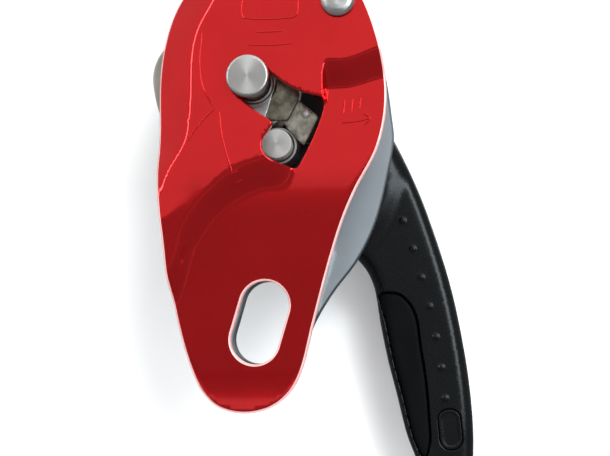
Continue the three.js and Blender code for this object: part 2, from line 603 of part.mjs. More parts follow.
const aboutCatch = new THREE.Group();
aboutCatch.position.set(CATCH_PIN.x, 0, CATCH_PIN.z);
descender.add(aboutCatch);

const aboutButton = new THREE.Group();
aboutButton.position.set(BUTTON_AT[0], 0, BUTTON_AT[1]);
descender.add(aboutButton);

const aboutPawl = new THREE.Group();
aboutPawl.position.set(PAWL_PIN.x, 0, PAWL_PIN.z);
descender.add(aboutPawl);

addPiece(descender, "swinging_side_plate", swingingPlate(), redPaint);
addPiece(descender, "fixed_side_plate", fixedPlate(), greyPaint);
addPiece(aboutAxle, "cam_axle", camAxle(), steel);
addPiece(aboutAxle, "axle_collar", tube(AXLE.r + GAP, 6.6, STACK_FRONT, CAM_FRONT - 2.2), steel);
addPiece(aboutAxle, "axle_nut", axleNut(), steel);
addPiece(descender, "guide_post", guidePost(), steel);
const sleeve = tube(POST.r + GAP, POST.sleeveR, CAM_FRONT + 1.2, CAM_BACK, POST.x, POST.z);
addPiece(descender, "guide_post_sleeve", sleeve, steel);
addPiece(descender, "plate_pivot_rivet", pivotRivet(), steel);
const spacer = tube(PIVOT.r + GAP, 7, FRONT_HIGH + SHEET + GAP, REAR_HIGH - GAP, PIVOT.x, PIVOT.z);
addPiece(descender, "plate_pivot_spacer", spacer, steel);
addPiece(descender, "friction_shoe", frictionShoe(), steel);
SHOE_RIVETS.forEach(([x, z], i) => addPiece(descender, `shoe_rivet_${i + 1}`, shoeRivet(x, z), steel));
addPiece(aboutAxle, "hub_housing", hubHousing(), nylon);
HOUSING_SCREWS.forEach(([x, z], i) => {
  addPiece(descender, `housing_screw_${i + 1}`, housingScrew(x, z), darkSteel);
});

addPiece(aboutAxle, "cam", cam(), steel);
addPiece(aboutAxle, "cam_cheek", camCheek(), steel);
addPiece(aboutAxle, "cam_bushing", tube(AXLE.r + GAP, AXLE.r + 1.5, CAM_FRONT, CAM_BACK), bronze);
addPiece(aboutAxle, "cam_return_spring", camSpring(), springSteel);
addPiece(aboutAxle, "drive_dog", driveDog(), darkSteel);
addPiece(descender, "catch_pin", catchPin(), steel);

addPiece(aboutCatch, "anti_error_catch", antiErrorCatch(), darkSteel);
addPiece(aboutCatch, "catch_stud", catchStud(), steel);

addPiece(descender, "handle_front_shell", handleFrontShell(), nylon);
addPiece(descender, "handle_rear_shell", handleRearShell(), nylon);
addPiece(descender, "handle_arm", handleArm(), darkSteel);
addPiece(descender, "finger_pad", fingerPad(), softGrip);
addPiece(descender, "handle_badge", badgeSolid(0, SHELL_FRONT - 0.5, SHELL_FRONT + 0.7), nylon);
addPiece(aboutAxle, "handle_bushing", tube(AXLE.r + GAP, 7.5, SHELL_FRONT, SHELL_BACK), bronze);
addPiece(aboutAxle, "hub_washer", tube(8, 12, HOUSING_BACK - 1.2, HOUSING_BACK), steel);
addPiece(aboutAxle, "hub_cap", hubCap(), nylon);
HANDLE_SCREWS.forEach(([x, z], i) => addPiece(descender, `handle_screw_${i + 1}`, handleScrew(x, z), darkSteel));
const pawlPin = pin(PAWL_PIN.r, HOUSING_FRONT + 0.3, SHELL_FRONT + 1.5, PAWL_PIN.x, PAWL_PIN.z, 16);
addPiece(descender, "pawl_pin", pawlPin, steel);
addPiece(aboutAxle, "pawl_spring", pawlSpring(), springSteel);
addPiece(aboutPawl, "drive_pawl", pawl(), darkSteel);
addPiece(aboutButton, "progress_button", button(), nylon);
addPiece(aboutButton, "button_spring", buttonSpring(), springSteel);

export default descender;
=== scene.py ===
"""Looks for a self-braking rope descender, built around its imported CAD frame.

Every length below is in millimetres until a mesh is made, where MM turns it into metres.
"""

import json
import math

import bmesh
import bpy
import numpy as np
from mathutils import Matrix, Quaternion, Vector
from mathutils.geometry import delaunay_2d_cdt


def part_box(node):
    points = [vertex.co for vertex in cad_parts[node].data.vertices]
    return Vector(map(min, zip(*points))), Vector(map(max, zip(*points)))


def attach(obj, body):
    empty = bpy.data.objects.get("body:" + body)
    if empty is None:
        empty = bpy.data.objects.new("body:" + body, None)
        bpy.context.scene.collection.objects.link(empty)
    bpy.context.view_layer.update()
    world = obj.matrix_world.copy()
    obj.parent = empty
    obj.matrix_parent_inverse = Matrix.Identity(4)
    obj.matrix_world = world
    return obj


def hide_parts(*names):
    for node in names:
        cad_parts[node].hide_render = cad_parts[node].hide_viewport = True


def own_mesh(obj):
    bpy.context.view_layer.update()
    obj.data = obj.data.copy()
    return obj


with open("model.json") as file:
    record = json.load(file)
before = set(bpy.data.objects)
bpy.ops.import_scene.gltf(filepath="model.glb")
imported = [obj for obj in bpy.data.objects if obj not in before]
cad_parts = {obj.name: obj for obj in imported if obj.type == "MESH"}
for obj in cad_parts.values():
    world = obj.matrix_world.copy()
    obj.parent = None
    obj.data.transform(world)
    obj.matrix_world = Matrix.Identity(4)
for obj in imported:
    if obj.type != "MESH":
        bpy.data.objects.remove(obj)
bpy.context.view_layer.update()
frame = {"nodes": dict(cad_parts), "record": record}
MM = 0.001


# ---------------------------------------------------------------- places and sizes from the frame
def box_mm(node):
    low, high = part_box(node)
    return np.array(low) / MM, np.array(high) / MM


def span(node):
    """Where a node starts and ends along y, the front first."""
    low, high = box_mm(node)
    return low[1], high[1]


def radius_of(node):
    low, high = box_mm(node)
    return (high[0] - low[0]) / 2


def axis_of(node):
    """The x and z of a round node whose axis runs along y."""
    low, high = box_mm(node)
    return (low[0] + high[0]) / 2, (low[2] + high[2]) / 2


def joint_at(name):
    joint = next(j for j in frame["record"]["behaviour"]["joints"] if j["name"] == name)
    return joint["pos_m"][0] / MM, joint["pos_m"][2] / MM


AXLE = joint_at("cam_pivot")
PIVOT = joint_at("side_plate_swing")
CATCH = joint_at("catch_pivot")
POST = axis_of("guide_post")
POST_R = radius_of("guide_post")
SLEEVE_R = radius_of("guide_post_sleeve")
BUTTON = axis_of("progress_button")
SHEET = 3.0
FRONT_HIGH = -11.5
FRONT_LOW = -6.0
REAR_HIGH = 13.0
REAR_EAR = 3.0
SHELL_FRONT, SHELL_SPLIT = span("handle_front_shell")
SHELL_BACK = span("handle_rear_shell")[1]
SLOT_WIDTH, SLOT_LENGTH, SLOT_TILT = 15.6, 27.0, 16.5
RIM = 0.62
HUB_BORE = 7.8
PLATE_BORE = 9.4
HOUSING_SCREWS = {"circle": 22.75, "hole": 2.9, "angles": (80, 200, 320)}
CUTOUT_HALF, NOTCH_HALF, NOTCH_AT = 6.2, 5.15, (6.6, 56.3)
PIN_SET_BACK = 0.4
POCKET_R, POCKET_DEPTH, POCKET_WALL = 6.0, 4, 0.4
SHOULDER_RISE, PAD_GROOVE, BADGE_RECESS, BUMP_RISE = 2.3, 2.0, 1.0, 0.55
FLOOR_Z = -81.5

FRONT_PLATE_OUTLINE = [
    (-5, -28.7), (3.7, -26.8), (9.8, -21.9), (13.3, -15.5), (17.5, 0.6), (22.7, 19.9), (26.8, 32.7),
    (31, 42.4), (37.8, 55.2), (40.7, 68.1), (40.4, 81), (37.5, 93.8), (33.6, 103.5), (27.5, 111.5),
    (17, 116.8), (3, 118.5), (-11, 116.3), (-21.5, 111.2), (-27.5, 103.5), (-31.7, 90.6), (-33.3, 77.7),
    (-33.1, 61.7), (-33, 45.6), (-30.7, 26.3), (-28.1, 7), (-23, -12.3), (-18.5, -21.9), (-13.3, -26.8),
]
REAR_PLATE_OUTLINE = [
    (-5, -27), (2.5, -25), (8.6, -19), (12.4, -10.5), (15.8, -0.2), (22, 10.1), (29.8, 20.3), (36, 32.6),
    (40.4, 49), (42.5, 61.3), (41.8, 69.5), (40.8, 77.7), (39.4, 85.9), (37.4, 93), (33, 104),
    (26, 111.8), (15, 116.6), (2, 117.8), (-11, 115.8), (-21, 110.8), (-28, 103), (-32.5, 91),
    (-34.4, 78), (-34, 60), (-32.8, 44), (-31, 26), (-28, 8), (-23, -11), (-18, -20.5), (-12.5, -25.4),
]
# Fold lines: each pair is a point at the high level and its partner at the low level.
FRONT_JOGGLE = [
    ((-38, 12), (-37, 1)), ((-29.3, 17.2), (-26.8, 5.5)), ((-26.8, 22.7), (-24, 11.9)),
    ((-24.9, 29.6), (-20.8, 23.1)), ((-22.7, 34.1), (-17.3, 28.9)), ((-19.2, 38.8), (-12.8, 34.7)),
    ((-14.7, 43.3), (-8.5, 38)), ((-10.3, 47.4), (-4.7, 40.2)), ((-5.2, 50.2), (1.1, 42.4)),
    ((1.7, 52.8), (8.5, 43.7)), ((9, 57), (12, 51)), ((16, 65), (17.4, 63.3)),
    ((20.4, 70.6), (21.2, 70)), ((20.9, 72.5), (22, 72)), ((21, 80.5), (22.3, 74.2)),
    ((22.1, 83.5), (23.3, 74.6)), ((27.4, 83.5), (28, 74.7)), ((31.5, 84.5), (32.3, 75.6)),
    ((34.7, 85.7), (35.5, 76.5)), ((46, 90.5), (46, 79.5)),
]
REAR_JOGGLE = [
    ((-42, 22), (-40, 3)), ((-31, 27), (-27, 12)), ((-25, 35), (-20, 23)), ((-16, 40), (-12, 29)),
    ((-5, 41.5), (-3, 31)), ((6, 40.5), (5, 30)), ((16, 36), (11, 26)), ((22.5, 28), (13.5, 20)),
    ((20.5, 16), (12.8, 12)), ((17.8, 7.3), (11.8, 4)), ((17.5, -1), (11.2, -4)), ((20, -7), (12.4, -11)),
    ((26, -12), (22, -22)),
]
# The crease of the rope flange, and its partner outside the left edge.
FLANGE = [
    ((-4, 132), (-16, 134)), ((-10.5, 110), (-28, 115)), ((-14.7, 102), (-31, 106)),
    ((-18.2, 95.9), (-34, 98)), ((-20, 90.8), (-35.5, 91)), ((-20.9, 84.1), (-36.3, 84)),
    ((-21.2, 70.8), (-36.5, 70)), ((-22.3, 60.7), (-36.3, 60)), ((-23.9, 56.3), (-36.3, 55)),
    ((-27.1, 51.2), (-36.2, 50)), ((-29, 47.4), (-36, 46)), ((-29.3, 40.7), (-35.7, 40)),
    ((-30, 34), (-36, 31)),
]
FLANGE_FALL, FLANGE_FADE, CREASE_WIDTH, CREASE_REACH = 0.54, 0.16, 2.2, 9
HANDLE_EDGE = [
    (12, 99.3), (24, 89.5), (34, 76.5), (42.7, 61.7), (50.3, 45.2), (56.1, 28.7), (60.9, 12.2),
    (64.3, -4.3), (66.7, -20.8), (67.8, -37.3), (67.2, -48.5), (64.3, -58), (58.6, -62.5), (53.4, -58.5),
    (48.6, -46), (45.4, -37.3), (42.4, -24.9), (39.3, -12.5), (36.9, -0.2), (34.9, 11.9), (32.6, 17.3),
    (29.6, 21.2), (23, 28.5), (14, 38.2), (4, 48.3),
]
HUB_R = 26
FINGER_PAD = [
    (36.8, 9.4), (40.6, 10.2), (44, 9.4), (47.3, 6.2), (49.4, 1.5), (50.6, -7.4), (52.3, -19.1),
    (53.3, -32.5), (53.4, -41), (51.6, -45.5), (49.4, -43), (47.4, -37.7), (44.4, -25.3), (41.3, -12.9),
    (38.9, -0.6),
]


# ---------------------------------------------------------------- curves in the x-z plane
def spline(points, closed, per_segment):
    """Centripetal Catmull-Rom through the points."""
    p = np.array(points, float)
    n = len(p)
    if closed:
        idx = [(i - 1, i, i + 1, i + 2) for i in range(n)]
        quads = [p[[j % n for j in q]] for q in idx]
    else:
        ext = np.vstack([2 * p[0] - p[1], p, 2 * p[-1] - p[-2]])
        quads = [ext[i:i + 4] for i in range(n - 1)]
    out = []
    for a, b, c, d in quads:
        t1 = np.linalg.norm(b - a) ** 0.5
        t2 = t1 + np.linalg.norm(c - b) ** 0.5
        t3 = t2 + np.linalg.norm(d - c) ** 0.5
        for t in np.linspace(t1, t2, per_segment, endpoint=False):
            a1 = a + (b - a) * t / t1
            a2 = b + (c - b) * (t - t1) / (t2 - t1)
            a3 = c + (d - c) * (t - t2) / (t3 - t2)
            b1 = a1 + (a2 - a1) * t / t2
            b2 = a2 + (a3 - a2) * (t - t1) / (t3 - t1)
            out.append(b1 + (b2 - b1) * (t - t1) / (t2 - t1))
    if not closed:
        out.append(p[-1])
    return np.array(out)


def resample(loop, step):
    """Evenly spaced points on a closed loop."""
    ring = np.vstack([loop, loop[:1]])
    lengths = np.concatenate([[0], np.cumsum(np.linalg.norm(np.diff(ring, axis=0), axis=1))])
    count = max(12, int(round(lengths[-1] / step)))
    at = np.linspace(0, lengths[-1], count, endpoint=False)
    return np.column_stack([np.interp(at, lengths, ring[:, k]) for k in (0, 1)])


def softened(loop, rounds):
    """A closed loop with its corners rounded a little."""
    for _ in range(rounds):
        loop = 0.5 * loop + 0.25 * (np.roll(loop, 1, 0) + np.roll(loop, -1, 0))
    return loop


def counter_clockwise(loop):
    x, z = loop[:, 0], loop[:, 1]
    area = np.sum(x * np.roll(z, -1) - np.roll(x, -1) * z)
    return loop if area > 0 else loop[::-1]


def inset(loop, distance):
    """A counter-clockwise loop moved inwards."""
    along = np.roll(loop, -1, 0) - np.roll(loop, 1, 0)
    along /= np.linalg.norm(along, axis=1)[:, None]
    return loop + distance * np.column_stack([-along[:, 1], along[:, 0]])


def circle(x, z, r, count=48):
    a = np.linspace(0, 2 * np.pi, count, endpoint=False)
    return np.column_stack([x + r * np.cos(a), z + r * np.sin(a)])


def arc(x, z, r, start, end, count=40):
    a = np.linspace(start, end, count)
    return np.column_stack([x + r * np.cos(a), z + r * np.sin(a)])


def stadium(x, z, width, length, tilt, count=30):
    """A rounded slot, its long way leaning to the right by tilt degrees."""
    up = math.radians(90 - tilt)
    reach = (length - width) / 2
    dx, dz = reach * math.cos(up), reach * math.sin(up)
    top = arc(x + dx, z + dz, width / 2, up - math.pi / 2, up + math.pi / 2, count)
    low = arc(x - dx, z - dz, width / 2, up + math.pi / 2, up + 1.5 * math.pi, count)
    return np.vstack([top, low])


def inside(points, loop):
    """Which points lie inside a closed loop."""
    hit = np.zeros(len(points), bool)
    x, z = points[:, 0], points[:, 1]
    for (x0, z0), (x1, z1) in zip(loop, np.roll(loop, -1, 0)):
        if z0 == z1:
            continue
        crosses = (z0 > z) != (z1 > z)
        hit ^= crosses & (x < (x1 - x0) * (z - z0) / (z1 - z0) + x0)
    return hit


def distance_to(points, loop, closed=True):
    """Distance from each point to a polyline."""
    a = loop if closed else loop[:-1]
    b = np.roll(loop, -1, 0) if closed else loop[1:]
    best = np.full(len(points), 1e9)
    for p, q in zip(a, b):
        d = q - p
        span = max(float(d @ d), 1e-12)
        t = np.clip((points - p) @ d / span, 0, 1)
        best = np.minimum(best, np.hypot(*(points - p - t[:, None] * d).T))
    return best


def eased(t, ease=0.3):
    """0 to 1 with rounded ends, straight between them."""
    t = np.clip(t, 0, 1)
    slope = 1 / (1 - ease)
    low = slope * t * t / (2 * ease)
    high = 1 - slope * (1 - t) ** 2 / (2 * ease)
    return np.where(t < ease, low, np.where(t > 1 - ease, high, slope * (t - ease / 2)))


def ruled(points, pairs):
    """How far each point is along the ruling it lies on, from the first curve (0) to the second (1).

    Returns that, the length of the ruling, its place along the curves, and whether a ruling was found.
    """
    first, second = fold_curves(pairs)
    across = second - first
    length2 = np.sum(across ** 2, axis=1)
    t_all = np.full(len(points), np.nan)
    length = np.zeros(len(points))
    place = np.zeros(len(points))
    side_last = t_last = None
    for i in range(len(first)):
        rel = points - first[i]
        side = across[i, 0] * rel[:, 1] - across[i, 1] * rel[:, 0]
        t = rel @ across[i] / length2[i]
        if i:
            w = np.abs(side_last) / np.maximum(np.abs(side_last) + np.abs(side), 1e-9)
            here = (side_last * side <= 0)
            mixed = (1 - w) * t_last + w * t
            better = here & (np.isnan(t_all) | (np.abs(mixed - 0.5) < np.abs(t_all - 0.5)))
            t_all[better] = mixed[better]
            length[better] = math.sqrt(length2[i])
            place[better] = i / (len(first) - 1)
        side_last, t_last = side, t
    return t_all, length, place, ~np.isnan(t_all)


def fold_curves(pairs):
    """The two smooth curves that the partners of a fold lie on."""
    return [spline([pair[side] for pair in pairs], False, 12) for side in (0, 1)]


# ---------------------------------------------------------------- formed sheet metal
def joggle_height(points, pairs, high, low, ease=0.3):
    """The y of a sheet with two levels, joined along a fold."""
    t, _, _, found = ruled(points, pairs)
    first, second = fold_curves(pairs)
    band = np.vstack([first, second[::-1]])
    below = np.vstack([second, [(200, -200), (-200, -200)]])
    level = np.where(inside(points, below), 1.0, 0.0)
    in_band = inside(points, band) & found
    level[in_band] = eased(t[in_band], ease)
    return high + (low - high) * level


def front_plate_height(points):
    """The swinging plate's two levels, falling away left of the flange's crease."""
    y = joggle_height(points, FRONT_JOGGLE, FRONT_HIGH, FRONT_LOW)
    t, length, place, found = ruled(points, FLANGE)
    s = np.where(found, t * length, -50.0)
    fade = np.clip((1 - place) / FLANGE_FADE, 0, 1)
    fall = FLANGE_FALL * (s + np.sqrt(s * s + CREASE_WIDTH ** 2)) / 2 * fade
    away = np.clip((s + CREASE_REACH) / 4, 0, 1)
    return y + np.where(s > -CREASE_REACH, fall * away, 0)


def rear_plate_height(points):
    return joggle_height(points, REAR_JOGGLE, REAR_HIGH, REAR_EAR, 0.35)


def thickened(height, low, high, thickness, pitch=0.5):
    """The far face of a sheet whose near face is a height function: the envelope of balls on it."""
    xs = np.arange(low[0], high[0] + pitch, pitch)
    zs = np.arange(low[1], high[1] + pitch, pitch)
    grid_x, grid_z = np.meshgrid(xs, zs, indexing="ij")
    near = height(np.column_stack([grid_x.ravel(), grid_z.ravel()])).reshape(grid_x.shape)
    reach = int(thickness / pitch)
    padded = np.pad(near, reach, mode="edge")
    far = np.full(near.shape, -1e9)
    for i in range(-reach, reach + 1):
        for j in range(-reach, reach + 1):
            d2 = (i * i + j * j) * pitch * pitch
            if d2 > thickness * thickness:
                continue
            lift = math.sqrt(thickness * thickness - d2)
            part = padded[reach + i:reach + i + near.shape[0], reach + j:reach + j + near.shape[1]]
            far = np.maximum(far, part + lift)

    def look(points):
        u = np.clip((points[:, 0] - xs[0]) / pitch, 0, len(xs) - 1.001)
        v = np.clip((points[:, 1] - zs[0]) / pitch, 0, len(zs) - 1.001)
        i, j = u.astype(int), v.astype(int)
        a, b = u - i, v - j
        return (far[i, j] * (1 - a) * (1 - b) + far[i + 1, j] * a * (1 - b)
                + far[i, j + 1] * (1 - a) * b + far[i + 1, j + 1] * a * b)
    return look


def mesh_object(name, verts, faces, rims=(), materials=(), smooth=True):
    mesh = bpy.data.meshes.new(name)
    mesh.from_pydata([(x * MM, y * MM, z * MM) for x, y, z in verts], [], faces)
    mesh.validate()
    obj = bpy.data.objects.new(name, mesh)
    bpy.context.scene.collection.objects.link(obj)
    for item in materials:
        mesh.materials.append(item)
    if len(rims):
        index = np.zeros(len(mesh.polygons), np.int32)
        index[np.array(rims)] = 1
        mesh.polygons.foreach_set("material_index", index)
    if smooth:
        mesh.polygons.foreach_set("use_smooth", [True] * len(mesh.polygons))
    mesh.update()
    return obj


def weighted_normals(obj):
    modifier = obj.modifiers.new("weighted", "WEIGHTED_NORMAL")
    modifier.weight = 90
    modifier.keep_sharp = True
    return obj


def seeded_grid(low, high, spacing, extra):
    """Points in staggered rows, left out near the extra points, which follow them."""
    columns, rows = np.arange(low[0], high[0], spacing), np.arange(low[1], high[1], spacing * 0.9)
    grid = np.stack(np.meshgrid(columns, rows, indexing="ij"), -1).reshape(-1, 2)
    row = np.round((grid[:, 1] - low[1]) / (spacing * 0.9)).astype(int)
    grid[:, 0] += (row % 2) * spacing / 2
    cell = spacing * 0.8
    taken = {(int(x // cell), int(z // cell)) for x, z in extra}
    free = [(int(x // cell), int(z // cell)) not in taken for x, z in grid]
    return np.vstack([grid[free], extra])


def between(points, loops):
    """Which points lie inside the first loop and outside the others."""
    keep = inside(points, loops[0])
    for loop in loops[1:]:
        keep &= ~inside(points, loop)
    return keep


def filled(outer, loops, extra, spacing):
    """Points and triangles between the loops, and where each loop point went."""
    grid = seeded_grid(outer.min(0), outer.max(0), spacing, extra)
    grid = grid[between(grid, loops)]
    clear = np.min([distance_to(grid, loop) for loop in loops], axis=0) > 0.35 * min(spacing, 1.2)
    flat = [Vector(p) for loop in loops for p in loop] + [Vector(p) for p in grid[clear]]
    edges = []
    for loop in loops:
        base, n = len(edges), len(loop)
        edges += [(base + i, base + (i + 1) % n) for i in range(n)]
    points, _, triangles, origins, _, _ = delaunay_2d_cdt(flat, edges, [], 0, 1e-6)
    points = np.array([tuple(p) for p in points])
    where = {source: i for i, sources in enumerate(origins) for source in sources}
    centres = np.array([points[list(t)].mean(0) for t in triangles])
    return points, [t for t, ok in zip(triangles, between(centres, loops)) if ok], where


def both_faces(points, triangles):
    """Each triangle on the near face and, turned over, on the far face."""
    n = len(points)
    faces = []
    for a, b, c in triangles:
        ab, ac = points[b] - points[a], points[c] - points[a]
        if ab[0] * ac[1] - ab[1] * ac[0] < 0:
            b, c = c, b
        faces += [(a, b, c), (a + n, c + n, b + n)]
    return faces


def solid_between(name, outline, holes, near, far, material, extra=(), rim=RIM, spacing=1.6, rim_steps=4,
                  far_rim=None, rim_material=None, plain_holes=()):
    """A closed piece between two height functions of (x, z), with rounded rims on every edge.

    The near face is at y = near(points) and the far face at y = far(points). Rims take the rim
    material, except those of the holes numbered in plain_holes.
    """
    outer = counter_clockwise(outline)
    loops = [outer] + [counter_clockwise(h)[::-1] for h in holes]
    starts = [inset(loop, rim) for loop in loops]
    points, triangles, where = filled(outer, starts, np.array(extra, float).reshape(-1, 2), spacing)
    n = len(points)
    verts = [(x, y, z) for face in (near, far) for (x, z), y in zip(points, face(points))]
    faces = both_faces(points, triangles)
    turns = np.linspace(0, math.pi / 2, rim_steps + 1)[1:]
    steps = [(1 - math.sin(a), 1 - math.cos(a)) for a in turns]
    sides = ((near, rim, 1, steps), (far, far_rim or rim, -1, steps[::-1]))
    rims = []
    base = 0
    for number, loop in enumerate(loops):
        own = range(base, base + len(loop))
        rings = [[where[i] for i in own]]
        for height, radius, way, ordered in sides:
            for across, down in ordered:
                ring = inset(loop, radius * across)
                rings.append(list(range(len(verts), len(verts) + len(loop))))
                verts += [(x, y, z) for (x, z), y in zip(ring, height(ring) + way * radius * down)]
        rings.append([where[i] + n for i in own])
        band = [(first[i], first[i - 1], second[i - 1], second[i])
                for first, second in zip(rings, rings[1:]) for i in [*range(1, len(loop)), 0]]
        if number - 1 not in plain_holes:
            rims += range(len(faces), len(faces) + len(band))
        faces += band
        base += len(loop)
    return weighted_normals(mesh_object(name, verts, faces, rims, [material, rim_material or material]))


def ruling_points(pairs, shares, step):
    """Points on the rulings of a fold, so the mesh follows it."""
    first, second = fold_curves(pairs)
    out = []
    last = None
    for a, b in zip(first, second):
        middle = (a + b) / 2
        if last is not None and np.linalg.norm(middle - last) < step:
            continue
        last = middle
        out += [a + (b - a) * t for t in shares]
    return out


# ---------------------------------------------------------------- turned pieces
def turned(name, profile, centre, material, body, node=None, segments=96):
    """A piece turned about an axis along y, from a profile of (radius, y)."""
    x, z = centre
    verts, faces, rings = [], [], []
    for r, y in profile:
        if r < 1e-6:
            rings.append([len(verts)])
            verts.append((x, y, z))
            continue
        rings.append(list(range(len(verts), len(verts) + segments)))
        a = np.linspace(0, 2 * np.pi, segments, endpoint=False)
        verts += [(x + r * math.cos(t), y, z + r * math.sin(t)) for t in a]
    bands = list(zip(rings, rings[1:]))
    if len(rings[0]) > 1 and len(rings[-1]) > 1:
        bands.append((rings[-1], rings[0]))
    for first, second in bands:
        for i in range(segments if len(first) + len(second) > 2 else 0):
            j = (i + 1) % segments
            if len(first) == 1:
                faces.append((first[0], second[j], second[i]))
            elif len(second) == 1:
                faces.append((first[i], first[j], second[0]))
            else:
                faces.append((first[i], first[j], second[j], second[i]))
    obj = mesh_object(name, verts, faces, materials=[material])
    obj.data.set_sharp_from_angle(angle=math.radians(35))
    return stands_for(outward(obj), body, *([node] if node else []))


def outward(obj):
    """Turns every face outwards."""
    bm = bmesh.new()
    bm.from_mesh(obj.data)
    bmesh.ops.recalc_face_normals(bm, faces=bm.faces)
    bm.to_mesh(obj.data)
    bm.free()
    return obj


def rounded(profile, radius=0.3, steps=3):
    """A profile of (radius, y) corners with each corner off the axis rounded."""
    out = []
    for i, point in enumerate(profile):
        p = np.array(point, float)
        if i in (0, len(profile) - 1):
            out.append(tuple(p))
            continue
        a, b = np.array(profile[i - 1], float), np.array(profile[i + 1], float)
        ra = min(radius, np.linalg.norm(a - p) * 0.45)
        rb = min(radius, np.linalg.norm(b - p) * 0.45)
        start = p + (a - p) / np.linalg.norm(a - p) * ra
        end = p + (b - p) / np.linalg.norm(b - p) * rb
        for t in np.linspace(0, 1, steps + 1):
            q = (1 - t) ** 2 * start + 2 * t * (1 - t) * p + t * t * end
            out.append(tuple(q))
    return out


# ---------------------------------------------------------------- materials
def shading(mat):
    """A material's nodes, its links and its Principled shader."""
    mat.use_nodes = True
    tree = mat.node_tree
    return tree.nodes, tree.links, tree.nodes["Principled BSDF"]


def radius_about(nodes, links, centre):
    """The distance from an axis along y, in object space."""
    socket = nodes.new("ShaderNodeTexCoord").outputs["Object"]
    place = (centre[0] * MM, 0, centre[1] * MM)
    for operation, operand in (("SUBTRACT", place), ("MULTIPLY", (1, 0, 1)), ("LENGTH", None)):
        node = nodes.new("ShaderNodeVectorMath")
        node.operation = operation
        if operand:
            node.inputs[1].default_value = operand
        links.new(socket, node.inputs[0])
        socket = node.outputs[0]
    return node.outputs["Value"]


def noise(nodes, links, source, scale, detail=3.0, stretch=None):
    """A noise texture in object space, scale per metre, squeezed along an axis if stretch is given."""
    node = nodes.new("ShaderNodeTexNoise")
    node.inputs["Scale"].default_value = scale
    node.inputs["Detail"].default_value = detail
    if stretch is not None:
        mapping = nodes.new("ShaderNodeMapping")
        mapping.inputs["Scale"].default_value = stretch
        links.new(source, mapping.inputs["Vector"])
        source = mapping.outputs["Vector"]
    links.new(source, node.inputs["Vector"])
    return node.outputs["Fac"]


def ranged(nodes, links, value, low, high, start=0.3, end=0.7):
    node = nodes.new("ShaderNodeMapRange")
    node.inputs["From Min"].default_value = start
    node.inputs["From Max"].default_value = end
    node.inputs["To Min"].default_value = low
    node.inputs["To Max"].default_value = high
    links.new(value, node.inputs["Value"])
    return node.outputs["Result"]


def mixed(nodes, links, factor, first, second):
    node = nodes.new("ShaderNodeMix")
    node.data_type = "RGBA"
    node.inputs[6].default_value = (*first, 1)
    node.inputs[7].default_value = (*second, 1)
    links.new(factor, node.inputs[0])
    return node.outputs[2]


def bumped(nodes, links, shader, height, depth, strength=1.0):
    """Relief depth millimetres deep where height goes from 0 to 1."""
    node = nodes.new("ShaderNodeBump")
    node.inputs["Strength"].default_value = strength
    node.inputs["Distance"].default_value = depth * MM
    links.new(height, node.inputs["Height"])
    if shader.inputs["Normal"].is_linked:
        links.new(shader.inputs["Normal"].links[0].from_socket, node.inputs["Normal"])
    links.new(node.outputs["Normal"], shader.inputs["Normal"])


def finish(name, light, dark, metallic, rough, mottle=90, grain=1500, grain_depth=0.01,
           coat=0.0, coat_rough=0.05, stretch=None, wave=None, specular=0.5):
    """A surface with slow variation of colour and gloss, and a fine grain in relief."""
    mat = bpy.data.materials.new(name)
    nodes, links, shader = shading(mat)
    place = nodes.new("ShaderNodeTexCoord").outputs["Object"]
    slow = noise(nodes, links, place, mottle, 4)
    fine = noise(nodes, links, place, grain, 3, stretch)
    colour = mixed(nodes, links, ranged(nodes, links, slow, 0, 1), light, dark)
    links.new(colour, shader.inputs["Base Color"])
    links.new(ranged(nodes, links, fine, rough[0], rough[1]), shader.inputs["Roughness"])
    shader.inputs["Metallic"].default_value = metallic
    shader.inputs["Specular IOR Level"].default_value = specular
    if coat:
        shader.inputs["Coat Weight"].default_value = coat
        shader.inputs["Coat Roughness"].default_value = coat_rough
    bumped(nodes, links, shader, fine, grain_depth)
    if wave is not None:
        bumped(nodes, links, shader, noise(nodes, links, place, wave[0], 1), wave[1])
    return mat


def turned_finish(name, light, dark, rough, centre, pitch=0.22, depth=0.004, metallic=1.0):
    """Bare metal with the fine rings that a lathe leaves, about an axis along y."""
    mat = bpy.data.materials.new(name)
    nodes, links, shader = shading(mat)
    place = nodes.new("ShaderNodeTexCoord").outputs["Object"]
    rings = nodes.new("ShaderNodeTexNoise")
    rings.noise_dimensions = "1D"
    rings.inputs["Scale"].default_value = 1 / (pitch * MM)
    rings.inputs["Detail"].default_value = 3
    links.new(radius_about(nodes, links, centre), rings.inputs["W"])
    slow = noise(nodes, links, place, 160, 4)
    colour = mixed(nodes, links, ranged(nodes, links, slow, 0, 1), light, dark)
    links.new(colour, shader.inputs["Base Color"])
    links.new(ranged(nodes, links, rings.outputs["Fac"], rough[0], rough[1]), shader.inputs["Roughness"])
    shader.inputs["Metallic"].default_value = metallic
    shader.inputs["Anisotropic"].default_value = 0.75
    tangent = nodes.new("ShaderNodeTangent")
    tangent.direction_type = "RADIAL"
    tangent.axis = "Y"
    links.new(tangent.outputs["Tangent"], shader.inputs["Tangent"])
    bumped(nodes, links, shader, rings.outputs["Fac"], depth)
    bumped(nodes, links, shader, noise(nodes, links, place, 2500, 2), 0.003)
    return mat


RED = finish("red_gloss", (0.61, 0.0078, 0.0101), (0.56, 0.0060, 0.0078), 0.9, (0.07, 0.1), 60, 2200,
             0.0008, coat=0.36, coat_rough=0.03, wave=(130, 0.006))
# The swinging plate's rims: pale pink, partly the polished bare edge and partly a painted highlight along
# it.
RED_EDGE_AND_HIGHLIGHT = finish("red_polished_edge_and_painted_highlight", (0.90, 0.52, 0.50), (0.84, 0.40, 0.38), 0.35, (0.25, 0.4), 220, 2600,
                 0.003)
GREY = finish("grey_anodised", (0.25, 0.285, 0.305), (0.215, 0.245, 0.265), 0.35, (0.36, 0.48), 70, 2400,
              0.004)
